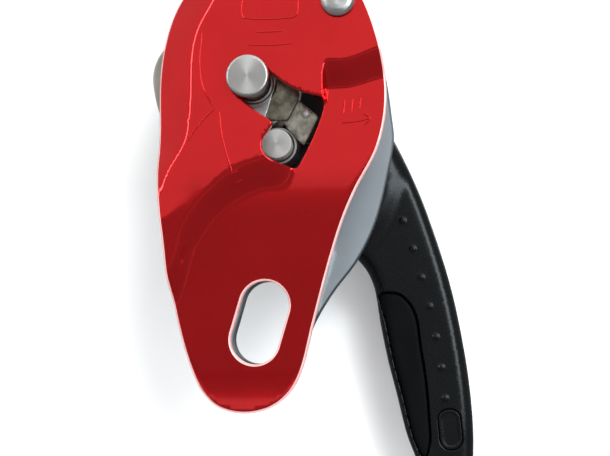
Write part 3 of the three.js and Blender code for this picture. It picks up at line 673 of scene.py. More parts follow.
# The fixed plate's rims: dark grey, partly the edge's own tone and partly painted shadow, the dark line
# along the plate's contour.
GREY_EDGE_AND_SHADOW = finish("grey_edge_and_painted_shadow", (0.10, 0.11, 0.125), (0.07, 0.08, 0.09), 0.7, (0.35, 0.5), 120, 2000, 0.004)


def painted_shade_round(mat, centre, reach, fade, dark):
    """Paints shade into a finish round an axis along y: the dark colour within reach of the axis, fading
    into the finish over fade millimetres beyond it.
    """
    nodes, links, shader = shading(mat)
    radius = radius_about(nodes, links, centre)
    away = ranged(nodes, links, radius, 0, 1, reach * MM, (reach + fade) * MM)
    mix = nodes.new("ShaderNodeMix")
    mix.data_type = "RGBA"
    mix.inputs[6].default_value = (*dark, 1)
    links.new(away, mix.inputs[0])
    links.new(shader.inputs["Base Color"].links[0].from_socket, mix.inputs[7])
    links.new(mix.outputs[2], shader.inputs["Base Color"])


# Painted shade: the fixed plate goes near black round the middle of the swinging plate's opening, where the
# inside lies in shade.
painted_shade_round(GREY, (12, 66), 18, 6, (0.012, 0.013, 0.015))
STEEL = finish("brushed_steel", (0.60, 0.60, 0.585), (0.47, 0.47, 0.45), 1.0, (0.26, 0.42), 140, 2200,
               0.006,
               stretch=(0.12, 1, 1))
WORN_STEEL = finish("worn_steel", (0.44, 0.42, 0.36), (0.15, 0.14, 0.105), 1.0, (0.25, 0.5), 420, 1500,
                    0.012)
# The cam cheek's arm: a darker copy of the cheek's steel with an olive tint, its darkness painted shade of
# the arm beyond the step.
SHADED_OLIVE_STEEL = finish("shaded_olive_steel", (0.34, 0.32, 0.25), (0.12, 0.11, 0.08), 1.0, (0.25, 0.45), 300,
                     1500, 0.012)
SHOE_STEEL = finish("cast_steel", (0.40, 0.38, 0.34), (0.31, 0.295, 0.26), 1.0, (0.3, 0.45), 120, 1800,
                    0.01)
DARK_STEEL = finish("blackened_steel", (0.16, 0.155, 0.145), (0.09, 0.09, 0.085), 1.0, (0.35, 0.55), 200,
                    2000, 0.008)
BRONZE = finish("bearing_bronze", (0.52, 0.33, 0.15), (0.40, 0.24, 0.10), 1.0, (0.3, 0.45), 200, 2200,
                0.006)
NYLON = finish("moulded_nylon", (0.0020, 0.0028, 0.0034), (0.0014, 0.0020, 0.0026), 0.0, (0.22, 0.3), 80,
               1700, 0.02, specular=0.25)
GRIP = finish("soft_grip", (0.0035, 0.004, 0.0048), (0.0025, 0.003, 0.0035), 0.0, (0.5, 0.65), 100, 1200,
              0.035, specular=0.04)
SPRING = finish("spring_wire", (0.50, 0.50, 0.52), (0.38, 0.38, 0.40), 1.0, (0.22, 0.34), 240, 2400, 0.004)
AXLE_FACE = turned_finish("turned_axle", (0.52, 0.515, 0.50), (0.44, 0.435, 0.42), (0.28, 0.42), AXLE)
RIVET_FACE = turned_finish("turned_rivet", (0.60, 0.60, 0.58), (0.50, 0.50, 0.48), (0.3, 0.45), PIVOT)
POST_FACE = turned_finish("turned_post", (0.44, 0.44, 0.42), (0.38, 0.38, 0.365), (0.42, 0.55), POST, 0.3,
                          0.003, 0.55)


def stands_for(obj, body, *nodes):
    """The piece rides on a body and is shown in place of CAD nodes."""
    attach(obj, body)
    if nodes:
        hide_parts(*nodes)
    return obj


# ---------------------------------------------------------------- the two side plates
def about_pivot(r, a):
    return np.array([PIVOT[0] + r * math.cos(a), PIVOT[1] + r * math.sin(a)])


def from_pivot(x, z):
    """The distance and angle of a point, seen from the swing rivet."""
    return math.hypot(x - PIVOT[0], z - PIVOT[1]), math.atan2(z - PIVOT[1], x - PIVOT[0])


def cutout_loop():
    """The opening for the axle head and the guide post: arcs about the swing rivet, joined by a slope."""
    axle_r, axle_a = from_pivot(*AXLE)
    notch_r, notch_a = from_pivot(*NOTCH_AT)
    upper, lower, notch_edge = axle_r - CUTOUT_HALF, axle_r + CUTOUT_HALF, notch_r + NOTCH_HALF
    right_top, right_low, tip = math.radians(-98.8), math.radians(-104.8), math.radians(-118.2)
    start, corner = about_pivot(notch_edge, right_low), about_pivot(upper, right_top)
    bend = np.array([19.3, 61.5])
    t = np.linspace(0, 1, 20)[1:-1, None]
    slope = (1 - t) ** 2 * start + 2 * t * (1 - t) * bend + t * t * corner
    parts = [
        arc(*PIVOT, upper, right_top, axle_a),
        arc(*AXLE, CUTOUT_HALF, axle_a + math.pi, axle_a + 2 * math.pi),
        arc(*PIVOT, lower, axle_a, tip),
        arc(*NOTCH_AT, NOTCH_HALF, math.radians(130), notch_a + 2 * math.pi),
        arc(*PIVOT, notch_edge, notch_a, right_low),
        slope,
    ]
    return softened(resample(np.vstack(parts), 0.5), 7)


def swinging_plate():
    outline = resample(spline(FRONT_PLATE_OUTLINE, True, 24), 0.8)
    holes = [resample(stadium(0, 0, SLOT_WIDTH, SLOT_LENGTH, SLOT_TILT), 0.6), cutout_loop()]
    shares = (-0.15, 0, 0.08, 0.2, 0.35, 0.5, 0.65, 0.8, 0.92, 1, 1.12)
    extra = ruling_points(FRONT_JOGGLE, shares, 0.9)
    extra += ruling_points(FLANGE[:-1], (-0.35, -0.2, -0.1, -0.04, 0, 0.04, 0.1, 0.2, 0.35, 0.6), 1.0)
    wall_x, wall_z = np.meshgrid(np.arange(19.4, 23.6, 0.3), np.arange(69, 84.5, 0.45))
    extra += list(np.column_stack([wall_x.ravel(), wall_z.ravel()]))
    far = thickened(front_plate_height, (-38, -34), (46, 124), SHEET)
    obj = solid_between("swinging_plate_formed", outline, holes, front_plate_height, far, RED, extra,
                        spacing=1.7, rim_material=RED_EDGE_AND_HIGHLIGHT, plain_holes=(1,))
    return stands_for(obj, "front_plate", "swinging_side_plate")


RELIEFS = [
    [(-17.9, 93), (-18.6, 83), (-17.4, 75), (-14.2, 69)],
    [(-12.1, 67), (-11.3, 60), (-9.6, 53), (-8, 47.8)],
    [(-13.8, 68), (-17, 65), (-20, 61.6), (-22.6, 58)],
    [(-9.5, 49.5), (-7.4, 50.4)], [(-8.4, 47), (-6.2, 48)], [(-7.2, 44.4), (-5.1, 45.5)],
    [(26.6, 63.6), (31, 63.9), (35.6, 64.8)], [(33.6, 66.4), (35.6, 64.8), (33.9, 62.7)],
    [(27.2, 66.8), (27.6, 71)], [(29.8, 67), (30.2, 71.2)], [(32.4, 68.4), (32.7, 71.4)],
    [(-3, 88.6), (4, 88.2), (11, 88.6)], [(0, 92.6), (8, 92.6)],
    [(-4.4, 97.4), (-5, 99.5), (-4.2, 104), (0, 105), (9, 105), (12.6, 104), (13.2, 99.5), (12.4, 97.4),
     (8, 96.8), (0, 96.8), (-4.4, 97.4)],
]


def plate_reliefs():
    """Plain raised lines pressed into the swinging plate: the rope's path, an arrow, bars and a frame."""
    curve = bpy.data.curves.new("plate_reliefs", "CURVE")
    curve.dimensions = "3D"
    curve.bevel_depth = 0.24 * MM
    curve.bevel_resolution = 3
    curve.use_fill_caps = True
    for corners in RELIEFS:
        path = spline(corners, False, 8)
        y = front_plate_height(path) + 0.08
        line = curve.splines.new("POLY")
        line.points.add(len(path) - 1)
        for point, (x, z), depth in zip(line.points, path, y):
            point.co = (x * MM, depth * MM, z * MM, 1)
    obj = bpy.data.objects.new("plate_reliefs", curve)
    curve.materials.append(RED)
    bpy.context.scene.collection.objects.link(obj)
    return stands_for(obj, "front_plate")


def fixed_plate():
    outline = resample(spline(REAR_PLATE_OUTLINE, True, 24), 0.9)
    holes = [resample(stadium(0, 0, SLOT_WIDTH, SLOT_LENGTH, SLOT_TILT), 0.7), circle(*AXLE, PLATE_BORE)]
    for a in HOUSING_SCREWS["angles"]:
        x, z = arc(*AXLE, HOUSING_SCREWS["circle"], math.radians(a), 0, 1)[0]
        holes.append(circle(x, z, HOUSING_SCREWS["hole"], 24))
    extra = ruling_points(REAR_JOGGLE, (-0.15, 0, 0.1, 0.25, 0.4, 0.55, 0.7, 0.85, 1, 1.15), 1.2)
    far = thickened(rear_plate_height, (-40, -34), (48, 124), SHEET)
    obj = solid_between("fixed_plate_formed", outline, holes, rear_plate_height, far, GREY, extra,
                        spacing=2.2, rim_material=GREY_EDGE_AND_SHADOW)
    return stands_for(obj, "frame", "fixed_side_plate")


# ---------------------------------------------------------------- turned pieces of the frame
def turned_frame_pieces():
    head, end = span("cam_axle")
    base = FRONT_HIGH - 0.5
    axle = [(0, head + 0.03), (5.9, head), (6.4, head + 0.12), (6.75, head + 0.4), (6.9, head + 0.8),
            (6.9, base - 0.5), (6.5, base), (5.5, base), (5.5, end - 0.5), (5.0, end), (0, end)]
    turned("axle_head_turned", rounded(axle, 0.25), AXLE, AXLE_FACE, "frame", "cam_axle")

    front, back = span("plate_pivot_rivet")
    seat, rear_seat = FRONT_HIGH - 0.3, REAR_HIGH + SHEET + 0.3
    rivet = [(0, front), (2.2, front + 0.06), (3.6, front + 0.3), (4.7, front + 0.8), (5.4, front + 1.5),
             (5.65, seat - 0.3), (5.4, seat), (3.5, seat), (3.5, rear_seat), (5.4, rear_seat),
             (5.65, rear_seat + 0.3), (5.2, back - 0.9), (4, back - 0.3), (2, back - 0.05), (0, back)]
    turned("pivot_rivet_turned", rounded(rivet, 0.25), PIVOT, RIVET_FACE, "frame", "plate_pivot_rivet")

    front, back = span("guide_post")
    r = POST_R
    post = [(0, front + 0.05), (0.4, front), (r - 0.35, front), (r, front + 0.35), (r, REAR_HIGH - 0.3),
            (3, REAR_HIGH - 0.3), (3, back - 1.5), (4.6, back - 1.5), (4.6, back), (0, back)]
    turned("guide_post_turned", rounded(post, 0.15), POST, POST_FACE, "frame", "guide_post")
    ring("guide_sleeve_turned", "guide_post_sleeve", POST, POST_R + 0.3, SLEEVE_R, STEEL, "frame")
    ring("axle_collar_turned", "axle_collar", AXLE, 5.8, 6.6, STEEL, "frame")
    ring("pivot_spacer_turned", "plate_pivot_spacer", PIVOT, 3.8, 7, STEEL, "frame")
    ring("hub_housing_moulded", "hub_housing", AXLE, 20.5, 25, NYLON, "frame", 0.8)
    for i in (1, 2):
        shoe_rivet(f"shoe_rivet_{i}")


def ring(name, node, centre, inner, outer, material, body, edge=0.3):
    """A tube with rounded edges, as long as its CAD node."""
    front, back = span(node)
    middle = ((inner + outer) / 2, front)
    corners = [middle, (outer, front), (outer, back), (inner, back), (inner, front), middle]
    turned(name, rounded(corners, edge, 4)[:-1], centre, material, body, node)


def shoe_rivet(node):
    front, back = span(node)
    profile = [(0, front), (1.4, front + 0.08), (2.4, front + 0.4), (3, front + 1.2), (1.8, front + 1.2),
               (1.8, back - 1.2), (3, back - 1.2), (2.4, back - 0.4), (1.4, back - 0.08), (0, back)]
    turned(node + "_domed", rounded(profile, 0.15), axis_of(node), STEEL, "frame", node, 48)


# ---------------------------------------------------------------- flat pieces with bevelled edges
def level(y):
    return lambda points: np.full(len(points), float(y))


def flat_piece(name, node, outline, holes, material, body, rim=0.25, front=None, back=None, rounds=2):
    """A flat piece with bevelled edges, as thick as its CAD node if it stands for one."""
    if node:
        front, back = span(node)
    loop = softened(resample(np.array(outline, float), 0.5), rounds)
    obj = solid_between(name, loop, holes, level(front), level(back), material, rim=rim, spacing=1.5,
                        rim_steps=3)
    return stands_for(obj, body, *([node] if node else []))


def friction_shoe():
    outer = [(-30.4, 92), (-34.2, 88.5), (-36.4, 82), (-35.6, 74.5), (-33, 65.5), (-30.6, 58.5)]
    inner = [(-28.2, 59.5), (-30, 66), (-31.4, 74), (-31.6, 80), (-30.4, 86), (-27.6, 91)]
    body = spline(outer + inner, True, 12)
    flat_piece("friction_shoe_dressed", "friction_shoe", body, [], SHOE_STEEL, "frame", 0.6)
    back = span("friction_shoe")[1]
    for i, tip in ((1, (-29.4, 90)), (2, (-30.2, 61))):
        x, z = axis_of(f"shoe_rivet_{i}")
        dx, dz = x - tip[0], z - tip[1]
        length = math.hypot(dx, dz)
        tilt = 90 - math.degrees(math.atan2(dz, dx))
        tab = stadium((x + tip[0]) / 2, (z + tip[1]) / 2, 6.4, 6.4 + length, tilt, 14)
        piece = solid_between(f"shoe_tab_{i}", resample(tab, 0.7), [circle(x, z, 2.1, 24)], level(back - 2),
                              level(back), SHOE_STEEL, rim=0.25, rim_steps=2)
        stands_for(piece, "frame")


def about(centre, points):
    return [(centre[0] + x, centre[1] + z) for x, z in points]


def cheek_and_catch():
    arm = about(AXLE, [(2, 9.5), (14.6, -0.2), (15.4, -4.3), (11.3, -12.4), (6.1, -12.4), (-3, -9.2)])
    front, back = span("cam_cheek")
    arm_bore = circle(*AXLE, 7.6, 48)
    # The arm takes the darker steel: painted shade beyond the step from the light cheek disc.
    flat_piece("cheek_arm", None, arm, [arm_bore], SHADED_OLIVE_STEEL, "cam_body", 0.4, front + 0.5, back, 3)
    disc = arc(*AXLE, 9.4, math.radians(55), math.radians(250), 60)
    disc = np.vstack([disc, about(AXLE, [(3.9, -11.8), (7.2, -1.2), (8.2, 3.4)])])
    flat_piece("cheek_disc", "cam_cheek", disc, [circle(*AXLE, 6.9, 48)], STEEL, "cam_body", 0.2)
    hole = circle(*CATCH, 1.9, 24)
    blade = about(CATCH, [(1.5, -8.1), (7.3, -14.4), (12.2, -4.8), (4.6, 1.8), (-2.6, 2.6), (-3.6, -0.4)])
    flat_piece("catch_blade", "anti_error_catch", blade, [hole], WORN_STEEL, "catch", 0.3, rounds=4)
    front, back = span("catch_stud")
    stud = [(0, front), (0.55, front + 0.08), (1.0, front + 0.33), (1.25, front + 0.7), (1.3, front + 1),
            (1.0, front + 1.15), (1.0, back), (0, back)]
    turned("catch_stud_domed", stud, axis_of("catch_stud"), POST_FACE, "catch", "catch_stud", 40)
    front, back = span("catch_pin")
    front += PIN_SET_BACK
    pin = [(0, front), (1.2, front), (1.6, front + 0.35), (1.6, back), (0, back)]
    turned("catch_pin_turned", pin, CATCH, STEEL, "cam_body", "catch_pin", 40)


def cam_radius(angle):
    """Edge radius of the cam: round, with one smooth lobe 115 degrees round."""
    away = abs((angle - 115 + 180) % 360 - 180)
    return 14.5 + 5.5 * math.cos(math.radians(90 * min(away, 75) / 75)) ** 2


def cam():
    """Rounded flanges with a smooth rope groove between them.

    Each step of the side is (radius, or minus the distance in from the edge, share of the half width).
    """
    front, back = span("cam")
    middle = (front + back) / 2
    half = (back - front) / 2
    side = [(7.3, 0.96), (7.7, 1), (-0.7, 1), (-0.25, 0.94), (-0.02, 0.85), (-0.02, 0.76), (-0.3, 0.69),
            (-1.1, 0.55), (-2.1, 0.36), (-2.8, 0.16)]
    profile = [(r, middle - half * share) for r, share in side]
    profile += [(-3, middle)] + [(r, middle + half * share) for r, share in reversed(side)]
    count = 180
    verts, faces = [], []
    for r, y in profile:
        for i in range(count):
            angle = 360 * i / count
            reach = r if r > 0 else cam_radius(angle) + r
            a = math.radians(angle)
            verts.append((AXLE[0] + reach * math.cos(a), y, AXLE[1] + reach * math.sin(a)))
    rows = len(profile)
    for k in range(rows):
        for i in range(count):
            j = (i + 1) % count
            n = (k + 1) % rows
            faces.append((k * count + i, k * count + j, n * count + j, n * count + i))
    obj = mesh_object("cam_grooved", verts, faces, materials=[STEEL])
    obj.data.set_sharp_from_angle(angle=math.radians(40))
    return stands_for(outward(obj), "cam_body", "cam")


# ---------------------------------------------------------------- handle
def handle_loop():
    start = math.atan2(HANDLE_EDGE[0][1] - AXLE[1], HANDLE_EDGE[0][0] - AXLE[0])
    end = math.atan2(HANDLE_EDGE[-1][1] - AXLE[1], HANDLE_EDGE[-1][0] - AXLE[0]) + 2 * math.pi
    angles = [end + (start - end) * (i + 1) / 10 for i in range(1, 8)]
    hub = [(AXLE[0] + HUB_R * math.cos(a), AXLE[1] + HUB_R * math.sin(a)) for a in angles]
    return resample(spline(HANDLE_EDGE + hub, True, 20), 1.0)


def rounded_box(x, z, width, height, r, tilt):
    up = math.radians(tilt)
    loop = []
    for sx, sz, start in ((1, 1, 0), (-1, 1, 90), (-1, -1, 180), (1, -1, 270)):
        cx, cz = sx * (width / 2 - r), sz * (height / 2 - r)
        loop.append(arc(cx, cz, r, math.radians(start), math.radians(start + 90), 10))
    loop = np.vstack(loop)
    turn = np.array([[math.cos(up), math.sin(up)], [-math.sin(up), math.cos(up)]])
    return loop @ turn + np.array([x, z])


HANDLE_LOOP = counter_clockwise(handle_loop())
PAD_LOOP = counter_clockwise(resample(spline(FINGER_PAD, True, 14), 0.8))
BADGE_LOOP = counter_clockwise(resample(rounded_box(60.1, -35.6, 7.2, 13, 3.2, 5), 0.5))
# The front of the handle rises to a shoulder that lies close behind the plates; this is its foot.
SHOULDER = np.array([
    (43.8, 64), (47, 53), (46.6, 43), (42.5, 33.5), (37, 26.5), (31, 20.5), (0, 10), (-60, 60), (0, 130),
    (40, 90),
])
SHOULDER = resample(softened(resample(SHOULDER, 2.0), 4), 1.5)
BUMPS = [(45, 34.4), (48.3, 24.8), (51, 15.1), (53.6, 5.4), (55.7, -4.9), (57.4, -15.1), (58.5, -25.3)]
EDGE_R = 4.6
EDGE_RINGS = (1.0, 1.5, 2.1, 2.8, 3.6, 4.6, 6)


def signed_inside(points, loop):
    """Distance to a loop, positive inside it."""
    d = distance_to(points, loop)
    return np.where(inside(points, loop), d, -d)


def smooth_step(t):
    t = np.clip(t, 0, 1)
    return t * t * (3 - 2 * t)


def moulded_drop(points, radius=EDGE_R):
    """How far a moulded face falls away near the handle's edge."""
    d = np.clip(distance_to(points, HANDLE_LOOP), 0, radius)
    return radius - np.sqrt(radius ** 2 - (radius - d) ** 2)


def handle_front(points):
    y = SHELL_FRONT + moulded_drop(points)
    reach = np.hypot(points[:, 0] - AXLE[0], points[:, 1] - AXLE[1])
    y -= SHOULDER_RISE * smooth_step(signed_inside(points, SHOULDER) / 8) * smooth_step((reach - 30) / 6)
    y += PAD_GROOVE * smooth_step(signed_inside(points, PAD_LOOP) / 0.5 + 0.5)
    y += BADGE_RECESS * smooth_step(signed_inside(points, BADGE_LOOP) / 0.3 + 1.2)
    for x, z in BUMPS:
        r = np.hypot(points[:, 0] - x, points[:, 1] - z)
        y -= BUMP_RISE * smooth_step(1.35 - r / 1.15)
    return y


def handle_back(points):
    y = SHELL_BACK - moulded_drop(points)
    reach = np.hypot(points[:, 0] - AXLE[0], points[:, 1] - AXLE[1])
    y -= 0.6 * smooth_step((reach - 27) / 6)
    return y


def offsets(loop, distances):
    return [p for d in distances for p in inset(loop, d)]


def circles(centre, radii, count):
    return [p for r in radii for p in circle(*centre, r, count)]


def split_face(points):
    """The back of the front moulding, with a pocket that the pressed button enters."""
    reach = np.hypot(points[:, 0] - BUTTON[0], points[:, 1] - BUTTON[1])
    return SHELL_SPLIT - POCKET_DEPTH * smooth_step((POCKET_R - reach) / POCKET_WALL)


def handle_shells():
    extra = offsets(HANDLE_LOOP, EDGE_RINGS)
    extra += offsets(PAD_LOOP, (-1.1, -0.55, -0.28, 0, 0.28, 0.6, 1.4))
    extra += offsets(BADGE_LOOP, (-0.8, -0.4, -0.2, 0, 0.3))
    for bump in BUMPS:
        extra += [bump] + circles(bump, (0.35, 0.65, 0.95, 1.25, 1.6), 14)
    extra += circles(BUTTON, (5.2, 5.6, 5.8, 6.0, 6.3), 36)
    bore = circle(*AXLE, HUB_BORE, 48)
    shell = solid_between("handle_front_moulding", HANDLE_LOOP, [bore], handle_front, split_face, NYLON,
                          extra, rim=0.5, spacing=1.8, far_rim=0.3)
    stands_for(shell, "handle", "handle_front_shell")
    holes = [bore, circle(*BUTTON, 5.3, 48)]
    holes += [circle(*axis_of(f"handle_screw_{i}"), 2.9, 32) for i in (1, 2, 3)]
    extra = offsets(HANDLE_LOOP, EDGE_RINGS) + circles(AXLE, (27, 28.5, 30, 31.5, 33), 90)
    shell = solid_between("handle_rear_moulding", HANDLE_LOOP, holes, level(SHELL_SPLIT + 0.3), handle_back,
                          NYLON, extra, rim=0.3, spacing=2.0, far_rim=0.5)
    stands_for(shell, "handle", "handle_rear_shell")


def finger_pad():
    """A crowned soft pad that lies in its groove."""
    loop = inset(PAD_LOOP, 0.5)
    crown_r = 1.6

    def moulded(points):
        return SHELL_FRONT + moulded_drop(points)

    def face(points):
        d = np.clip(signed_inside(points, loop), 0, crown_r)
        crown = 0.55 * (1 - np.sqrt(1 - ((crown_r - d) / crown_r) ** 2 * 0.999))
        return moulded(points) + 0.45 + crown
    pad = solid_between("finger_pad_moulded", loop, [], face, lambda points: moulded(points) + 1.8, GRIP,
                        offsets(loop, (0.6, 0.9, 1.3, 1.8, 2.4)), rim=0.3, spacing=1.4, rim_steps=3)
    stands_for(pad, "handle", "finger_pad")


def badge():
    """A blank rounded plate with a raised border."""
    def face(points):
        d = signed_inside(points, BADGE_LOOP)
        return SHELL_FRONT - 0.45 + 0.4 * smooth_step((d - 0.75) / 0.5)
    extra = offsets(BADGE_LOOP, (0.45, 0.7, 0.85, 1.0, 1.15, 1.3, 1.6))
    piece = solid_between("handle_badge_blank", BADGE_LOOP, [], face, level(SHELL_FRONT + 0.8), NYLON,
                          extra, rim=0.25, spacing=1.0, rim_steps=3)
    stands_for(piece, "handle", "handle_badge")


def rear_pieces():
    low, back = span("hub_cap")
    cap = [(8.5, low), (17, low), (17, low + 1.6), (16.6, low + 2.3), (15.6, low + 2.6), (15.2, low + 3.1),
           (14.8, low + 4.0), (13.4, low + 5.2), (11, low + 5.9), (9.6, low + 6.1), (9.2, low + 5.6),
           (8.8, low + 5.6), (8.4, low + 6.15), (0, back), (0, back - 1.8), (8.5, back - 1.8)]
    turned("hub_cap_moulded", rounded(cap, 0.3), AXLE, NYLON, "handle", "hub_cap", 120)
    front, back = span("progress_button")
    button = [(0, front), (3.8, front), (5, front + 0.6), (5, back - 1), (4.7, back - 0.3), (4.1, back),
              (3.6, back - 0.15), (3.2, back - 0.55), (2.9, back - 0.55), (2.5, back - 0.3),
              (2.1, back - 0.55), (1.8, back - 0.55), (1.4, back - 0.35), (0, back - 0.4)]
    turned("progress_button_moulded", rounded(button, 0.12), BUTTON, NYLON, "button", "progress_button", 64)
    for i in (1, 2, 3):
        handle_screw(f"handle_screw_{i}")


def handle_screw(node):
    """A button-head screw with a hexagonal socket."""
    x, z = axis_of(node)
    front, back = span(node)
    head_r = 2.6
    socket = softened(resample(circle(x, z, 1.35, 6), 0.25), 1)

    def domed(points):
        return back - 0.25 * np.hypot(points[:, 0] - x, points[:, 1] - z) ** 2 / head_r
    dome = solid_between(node + "_head", circle(x, z, head_r, 48), [socket], level(back - 1.4), domed,
                         DARK_STEEL, rim=0.12, rim_steps=2, spacing=0.6)
    stands_for(dome, "handle", node)
    shank = [(0, front), (1.5, front), (1.5, back - 1.3), (1.9, back - 1.3), (1.9, back - 0.95),
             (0, back - 0.95)]
    turned(node + "_shank", shank, (x, z), DARK_STEEL, "handle", segments=40)


def wire(name, node, path, radius, body):
    """A round spring wire along a path of points, with closed ends."""
    path = np.array(path, float)
    along = np.gradient(path, axis=0)
    along /= np.linalg.norm(along, axis=1)[:, None]
    sides = 12
    verts, faces = [], []
    for point, forward in zip(path, along):
        across = np.cross(forward, (0, 1, 0))
        across /= np.linalg.norm(across)
        up = np.cross(across, forward)
        for a in np.linspace(0, 2 * np.pi, sides, endpoint=False):
            verts.append(tuple(point + radius * (math.cos(a) * across + math.sin(a) * up)))
    for k in range(len(path) - 1):
        for i in range(sides):
            j = (i + 1) % sides
            faces.append((k * sides + i, k * sides + j, (k + 1) * sides + j, (k + 1) * sides + i))
    faces.append(tuple(range(sides)))
    faces.append(tuple(range((len(path) - 1) * sides, len(path) * sides))[::-1])
    obj = mesh_object(name, verts, faces, materials=[SPRING])
    obj.data.set_sharp_from_angle(angle=math.radians(50))
    return stands_for(outward(obj), body, node)


def helix(centre, radius, turns, front, back):
    """The middle of a coil's wire, 40 points to a turn."""
    t = np.linspace(0, 1, int(turns * 40) + 1)
    a = 2 * np.pi * turns * t
    return np.column_stack([centre[0] + radius * np.cos(a), front + (back - front) * t,
                            centre[1] + radius * np.sin(a)])


def springs():
    front, back = span("cam_return_spring")
    path = helix(AXLE, 9, 2.5, front + 0.6, back - 0.6)
    wire("cam_return_coil", "cam_return_spring", path, 0.6, "cam_body")
    front, back = span("button_spring")
    path = helix(BUTTON, 2.8, 3, front + 0.35, back - 0.35)
    coil = wire("button_coil", "button_spring", path, 0.3, "handle")
    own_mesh(coil)
    y = sum(span("pawl_spring")) / 2
    bends = spline(about(AXLE, [(-13, 9.5), (-11.5, 13), (-8.6, 15.4)]), False, 12)
    wire("pawl_wire", "pawl_spring", [(x, y, z) for x, z in bends], 0.4, "handle")


# ---------------------------------------------------------------- pieces that stay as the CAD made them
CARRIED = [
    (STEEL, ("axle_nut", "hub_washer", "pawl_pin")),
    (DARK_STEEL, ("housing_screw_1", "housing_screw_2", "housing_screw_3", "drive_dog", "handle_arm",
                  "drive_pawl")),
    (BRONZE, ("cam_bushing", "handle_bushing")),
]


def dress_carried():
    for material, names in CARRIED:
        for name in names:
            materials = frame["nodes"][name].data.materials
            materials.clear()
            materials.append(material)


# ---------------------------------------------------------------- studio
def area_light(name, at, target, width, height, power, color=(1, 1, 1)):
    data = bpy.data.lights.new(name, "AREA")
    data.shape = "RECTANGLE"
    data.size, data.size_y = width, height
    data.energy = power
    data.color = color
    obj = bpy.data.objects.new(name, data)
    obj.location = at
    obj.rotation_euler = (Vector(target) - Vector(at)).to_track_quat("-Z", "Y").to_euler()
    obj.visible_camera = False
    bpy.context.scene.collection.objects.link(obj)
    return obj


def studio():
    """A high softbox in front, a low bright card, side strips and an overhead light for the floor."""
    middle = (0.015, 0.01, 0.035)
    area_light("high_softbox", (-0.35, -1.5, 0.975), (-0.35, 0, 0.975), 2.2, 1.5, 6.2)
    area_light("left_softbox", (-1.6, -0.3, 0.6), (0, 0, 0.1), 1.5, 1.6, 4.2)
    area_light("crease_strip", (-1.02, -0.86, 0.62), (-0.02, 0, 0.06), 0.1, 1.0, 3.2)
    area_light("low_card", (-0.05, -0.45, -0.058), (-0.05, 0, -0.058), 0.6, 0.0105, 0.016)
    area_light("right_card", (0.5, -0.5, 0.02), (0, 0, 0.02), 0.3, 0.14, 0.1)
    area_light("right_strip", (0.95, -1.05, 0.5), middle, 0.6, 1.1, 17, (0.86, 0.95, 1.0))
    area_light("rear_fill", (0.3, 1.4, 0.9), middle, 1.6, 1.2, 8)
    area_light("overhead", (0, 0.1, 1.6), (0, 0.1, 0), 2.4, 2.4, 24)
    key = area_light("shadow_key", (0.6, -1.3, 0.95), middle, 0.45, 0.45, 13)
    key.visible_glossy = False


def world_light():
    """A pale world, full for the camera and weaker for everything else."""
    world = bpy.context.scene.world or bpy.data.worlds.new("studio")
    bpy.context.scene.world = world
    world.use_nodes = True
    nodes, links = world.node_tree.nodes, world.node_tree.links
    back = nodes["Background"]
    path = nodes.new("ShaderNodeLightPath")
    strength = nodes.new("ShaderNodeMapRange")
    strength.inputs["To Min"].default_value = 0.3
    strength.inputs["To Max"].default_value = 1.0
    links.new(path.outputs["Is Camera Ray"], strength.inputs["Value"])
    links.new(strength.outputs["Result"], back.inputs["Strength"])
    back.inputs["Color"].default_value = (0.985, 0.988, 0.99, 1)


def paper(name, light, dark, rough, switch, other):
    """Pale paper that takes another shader where the switch, a node type and its output, is on."""
    mat = finish(name, light, dark, 0.0, rough, 8, 700, 0.02)
    nodes, links, shader = shading(mat)
    instead, both = nodes.new(other), nodes.new("ShaderNodeMixShader")
    links.new(nodes.new(switch[0]).outputs[switch[1]], both.inputs["Fac"])
    links.new(shader.outputs["BSDF"], both.inputs[1])
    links.new(instead.outputs["BSDF"], both.inputs[2])
    links.new(both.outputs["Shader"], nodes["Material Output"].inputs["Surface"])
    return mat, instead


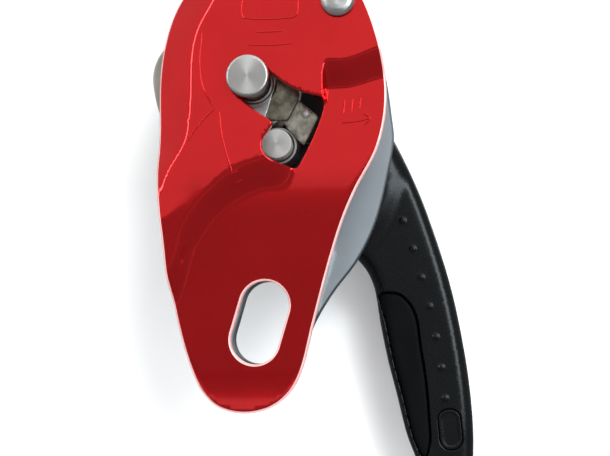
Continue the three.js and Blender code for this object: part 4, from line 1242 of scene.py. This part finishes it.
def floor():
    """A round pale floor, below the lowest point that the handle's tip sweeps through.

    It shows up darker in the gloss of the object, as with a black card lying before it.
    """
    mat, card = paper("floor_paper", (0.86, 0.865, 0.87), (0.84, 0.845, 0.85), (0.75, 0.9),
                      ("ShaderNodeLightPath", "Is Glossy Ray"), "ShaderNodeBsdfDiffuse")
    card.inputs["Color"].default_value = (0.16, 0.16, 0.165, 1)
    count = 96
    verts = [(0, 0, FLOOR_Z)] + [(x, y, FLOOR_Z) for x, y in circle(0, 0, 1600, count)]
    faces = [(0, i + 1, (i + 1) % count + 1) for i in range(count)]
    mesh_object("floor", verts, faces, materials=[mat], smooth=False)


def backdrop():
    """White paper close behind the part, not seen from behind.

    Only the camera sees it, so it holds shadows and lights nothing.
    """
    y, half, top = 44, 420, 420
    verts = [(-half, y, FLOOR_Z), (half, y, FLOOR_Z), (half, y, top), (-half, y, top)]
    mat, _ = paper("backdrop_paper", (0.9, 0.9, 0.9), (0.885, 0.886, 0.888), (0.8, 0.95),
                   ("ShaderNodeNewGeometry", "Backfacing"), "ShaderNodeBsdfTransparent")
    obj = mesh_object("backdrop", verts, [(0, 1, 2, 3)], materials=[mat], smooth=False)
    obj.visible_diffuse = obj.visible_glossy = obj.visible_shadow = obj.visible_transmission = False


def camera():
    """The photograph's view: a little right of the part and level with the slot, looking left and up."""
    data = bpy.data.cameras.new("photo_camera")
    data.sensor_width = 36
    data.lens = 66.78
    data.clip_start = 0.01
    obj = bpy.data.objects.new("photo_camera", data)
    obj.location = Vector((54.84, -362.85, -0.6)) * MM
    heading, rise, roll = math.radians(6.424), math.radians(4.869), math.radians(0.186)
    aim = Vector((-math.sin(heading) * math.cos(rise), math.cos(heading) * math.cos(rise), math.sin(rise)))
    obj.rotation_mode = "QUATERNION"
    obj.rotation_quaternion = aim.to_track_quat("-Z", "Y") @ Quaternion((0, 0, 1), -roll)
    bpy.context.scene.collection.objects.link(obj)
    bpy.context.scene.camera = obj


swinging_plate()
plate_reliefs()
fixed_plate()
turned_frame_pieces()
friction_shoe()
cheek_and_catch()
cam()
handle_shells()
finger_pad()
badge()
rear_pieces()
springs()
dress_carried()
studio()
world_light()
floor()
backdrop()
camera()
bpy.context.scene.view_settings.view_transform = "Standard"
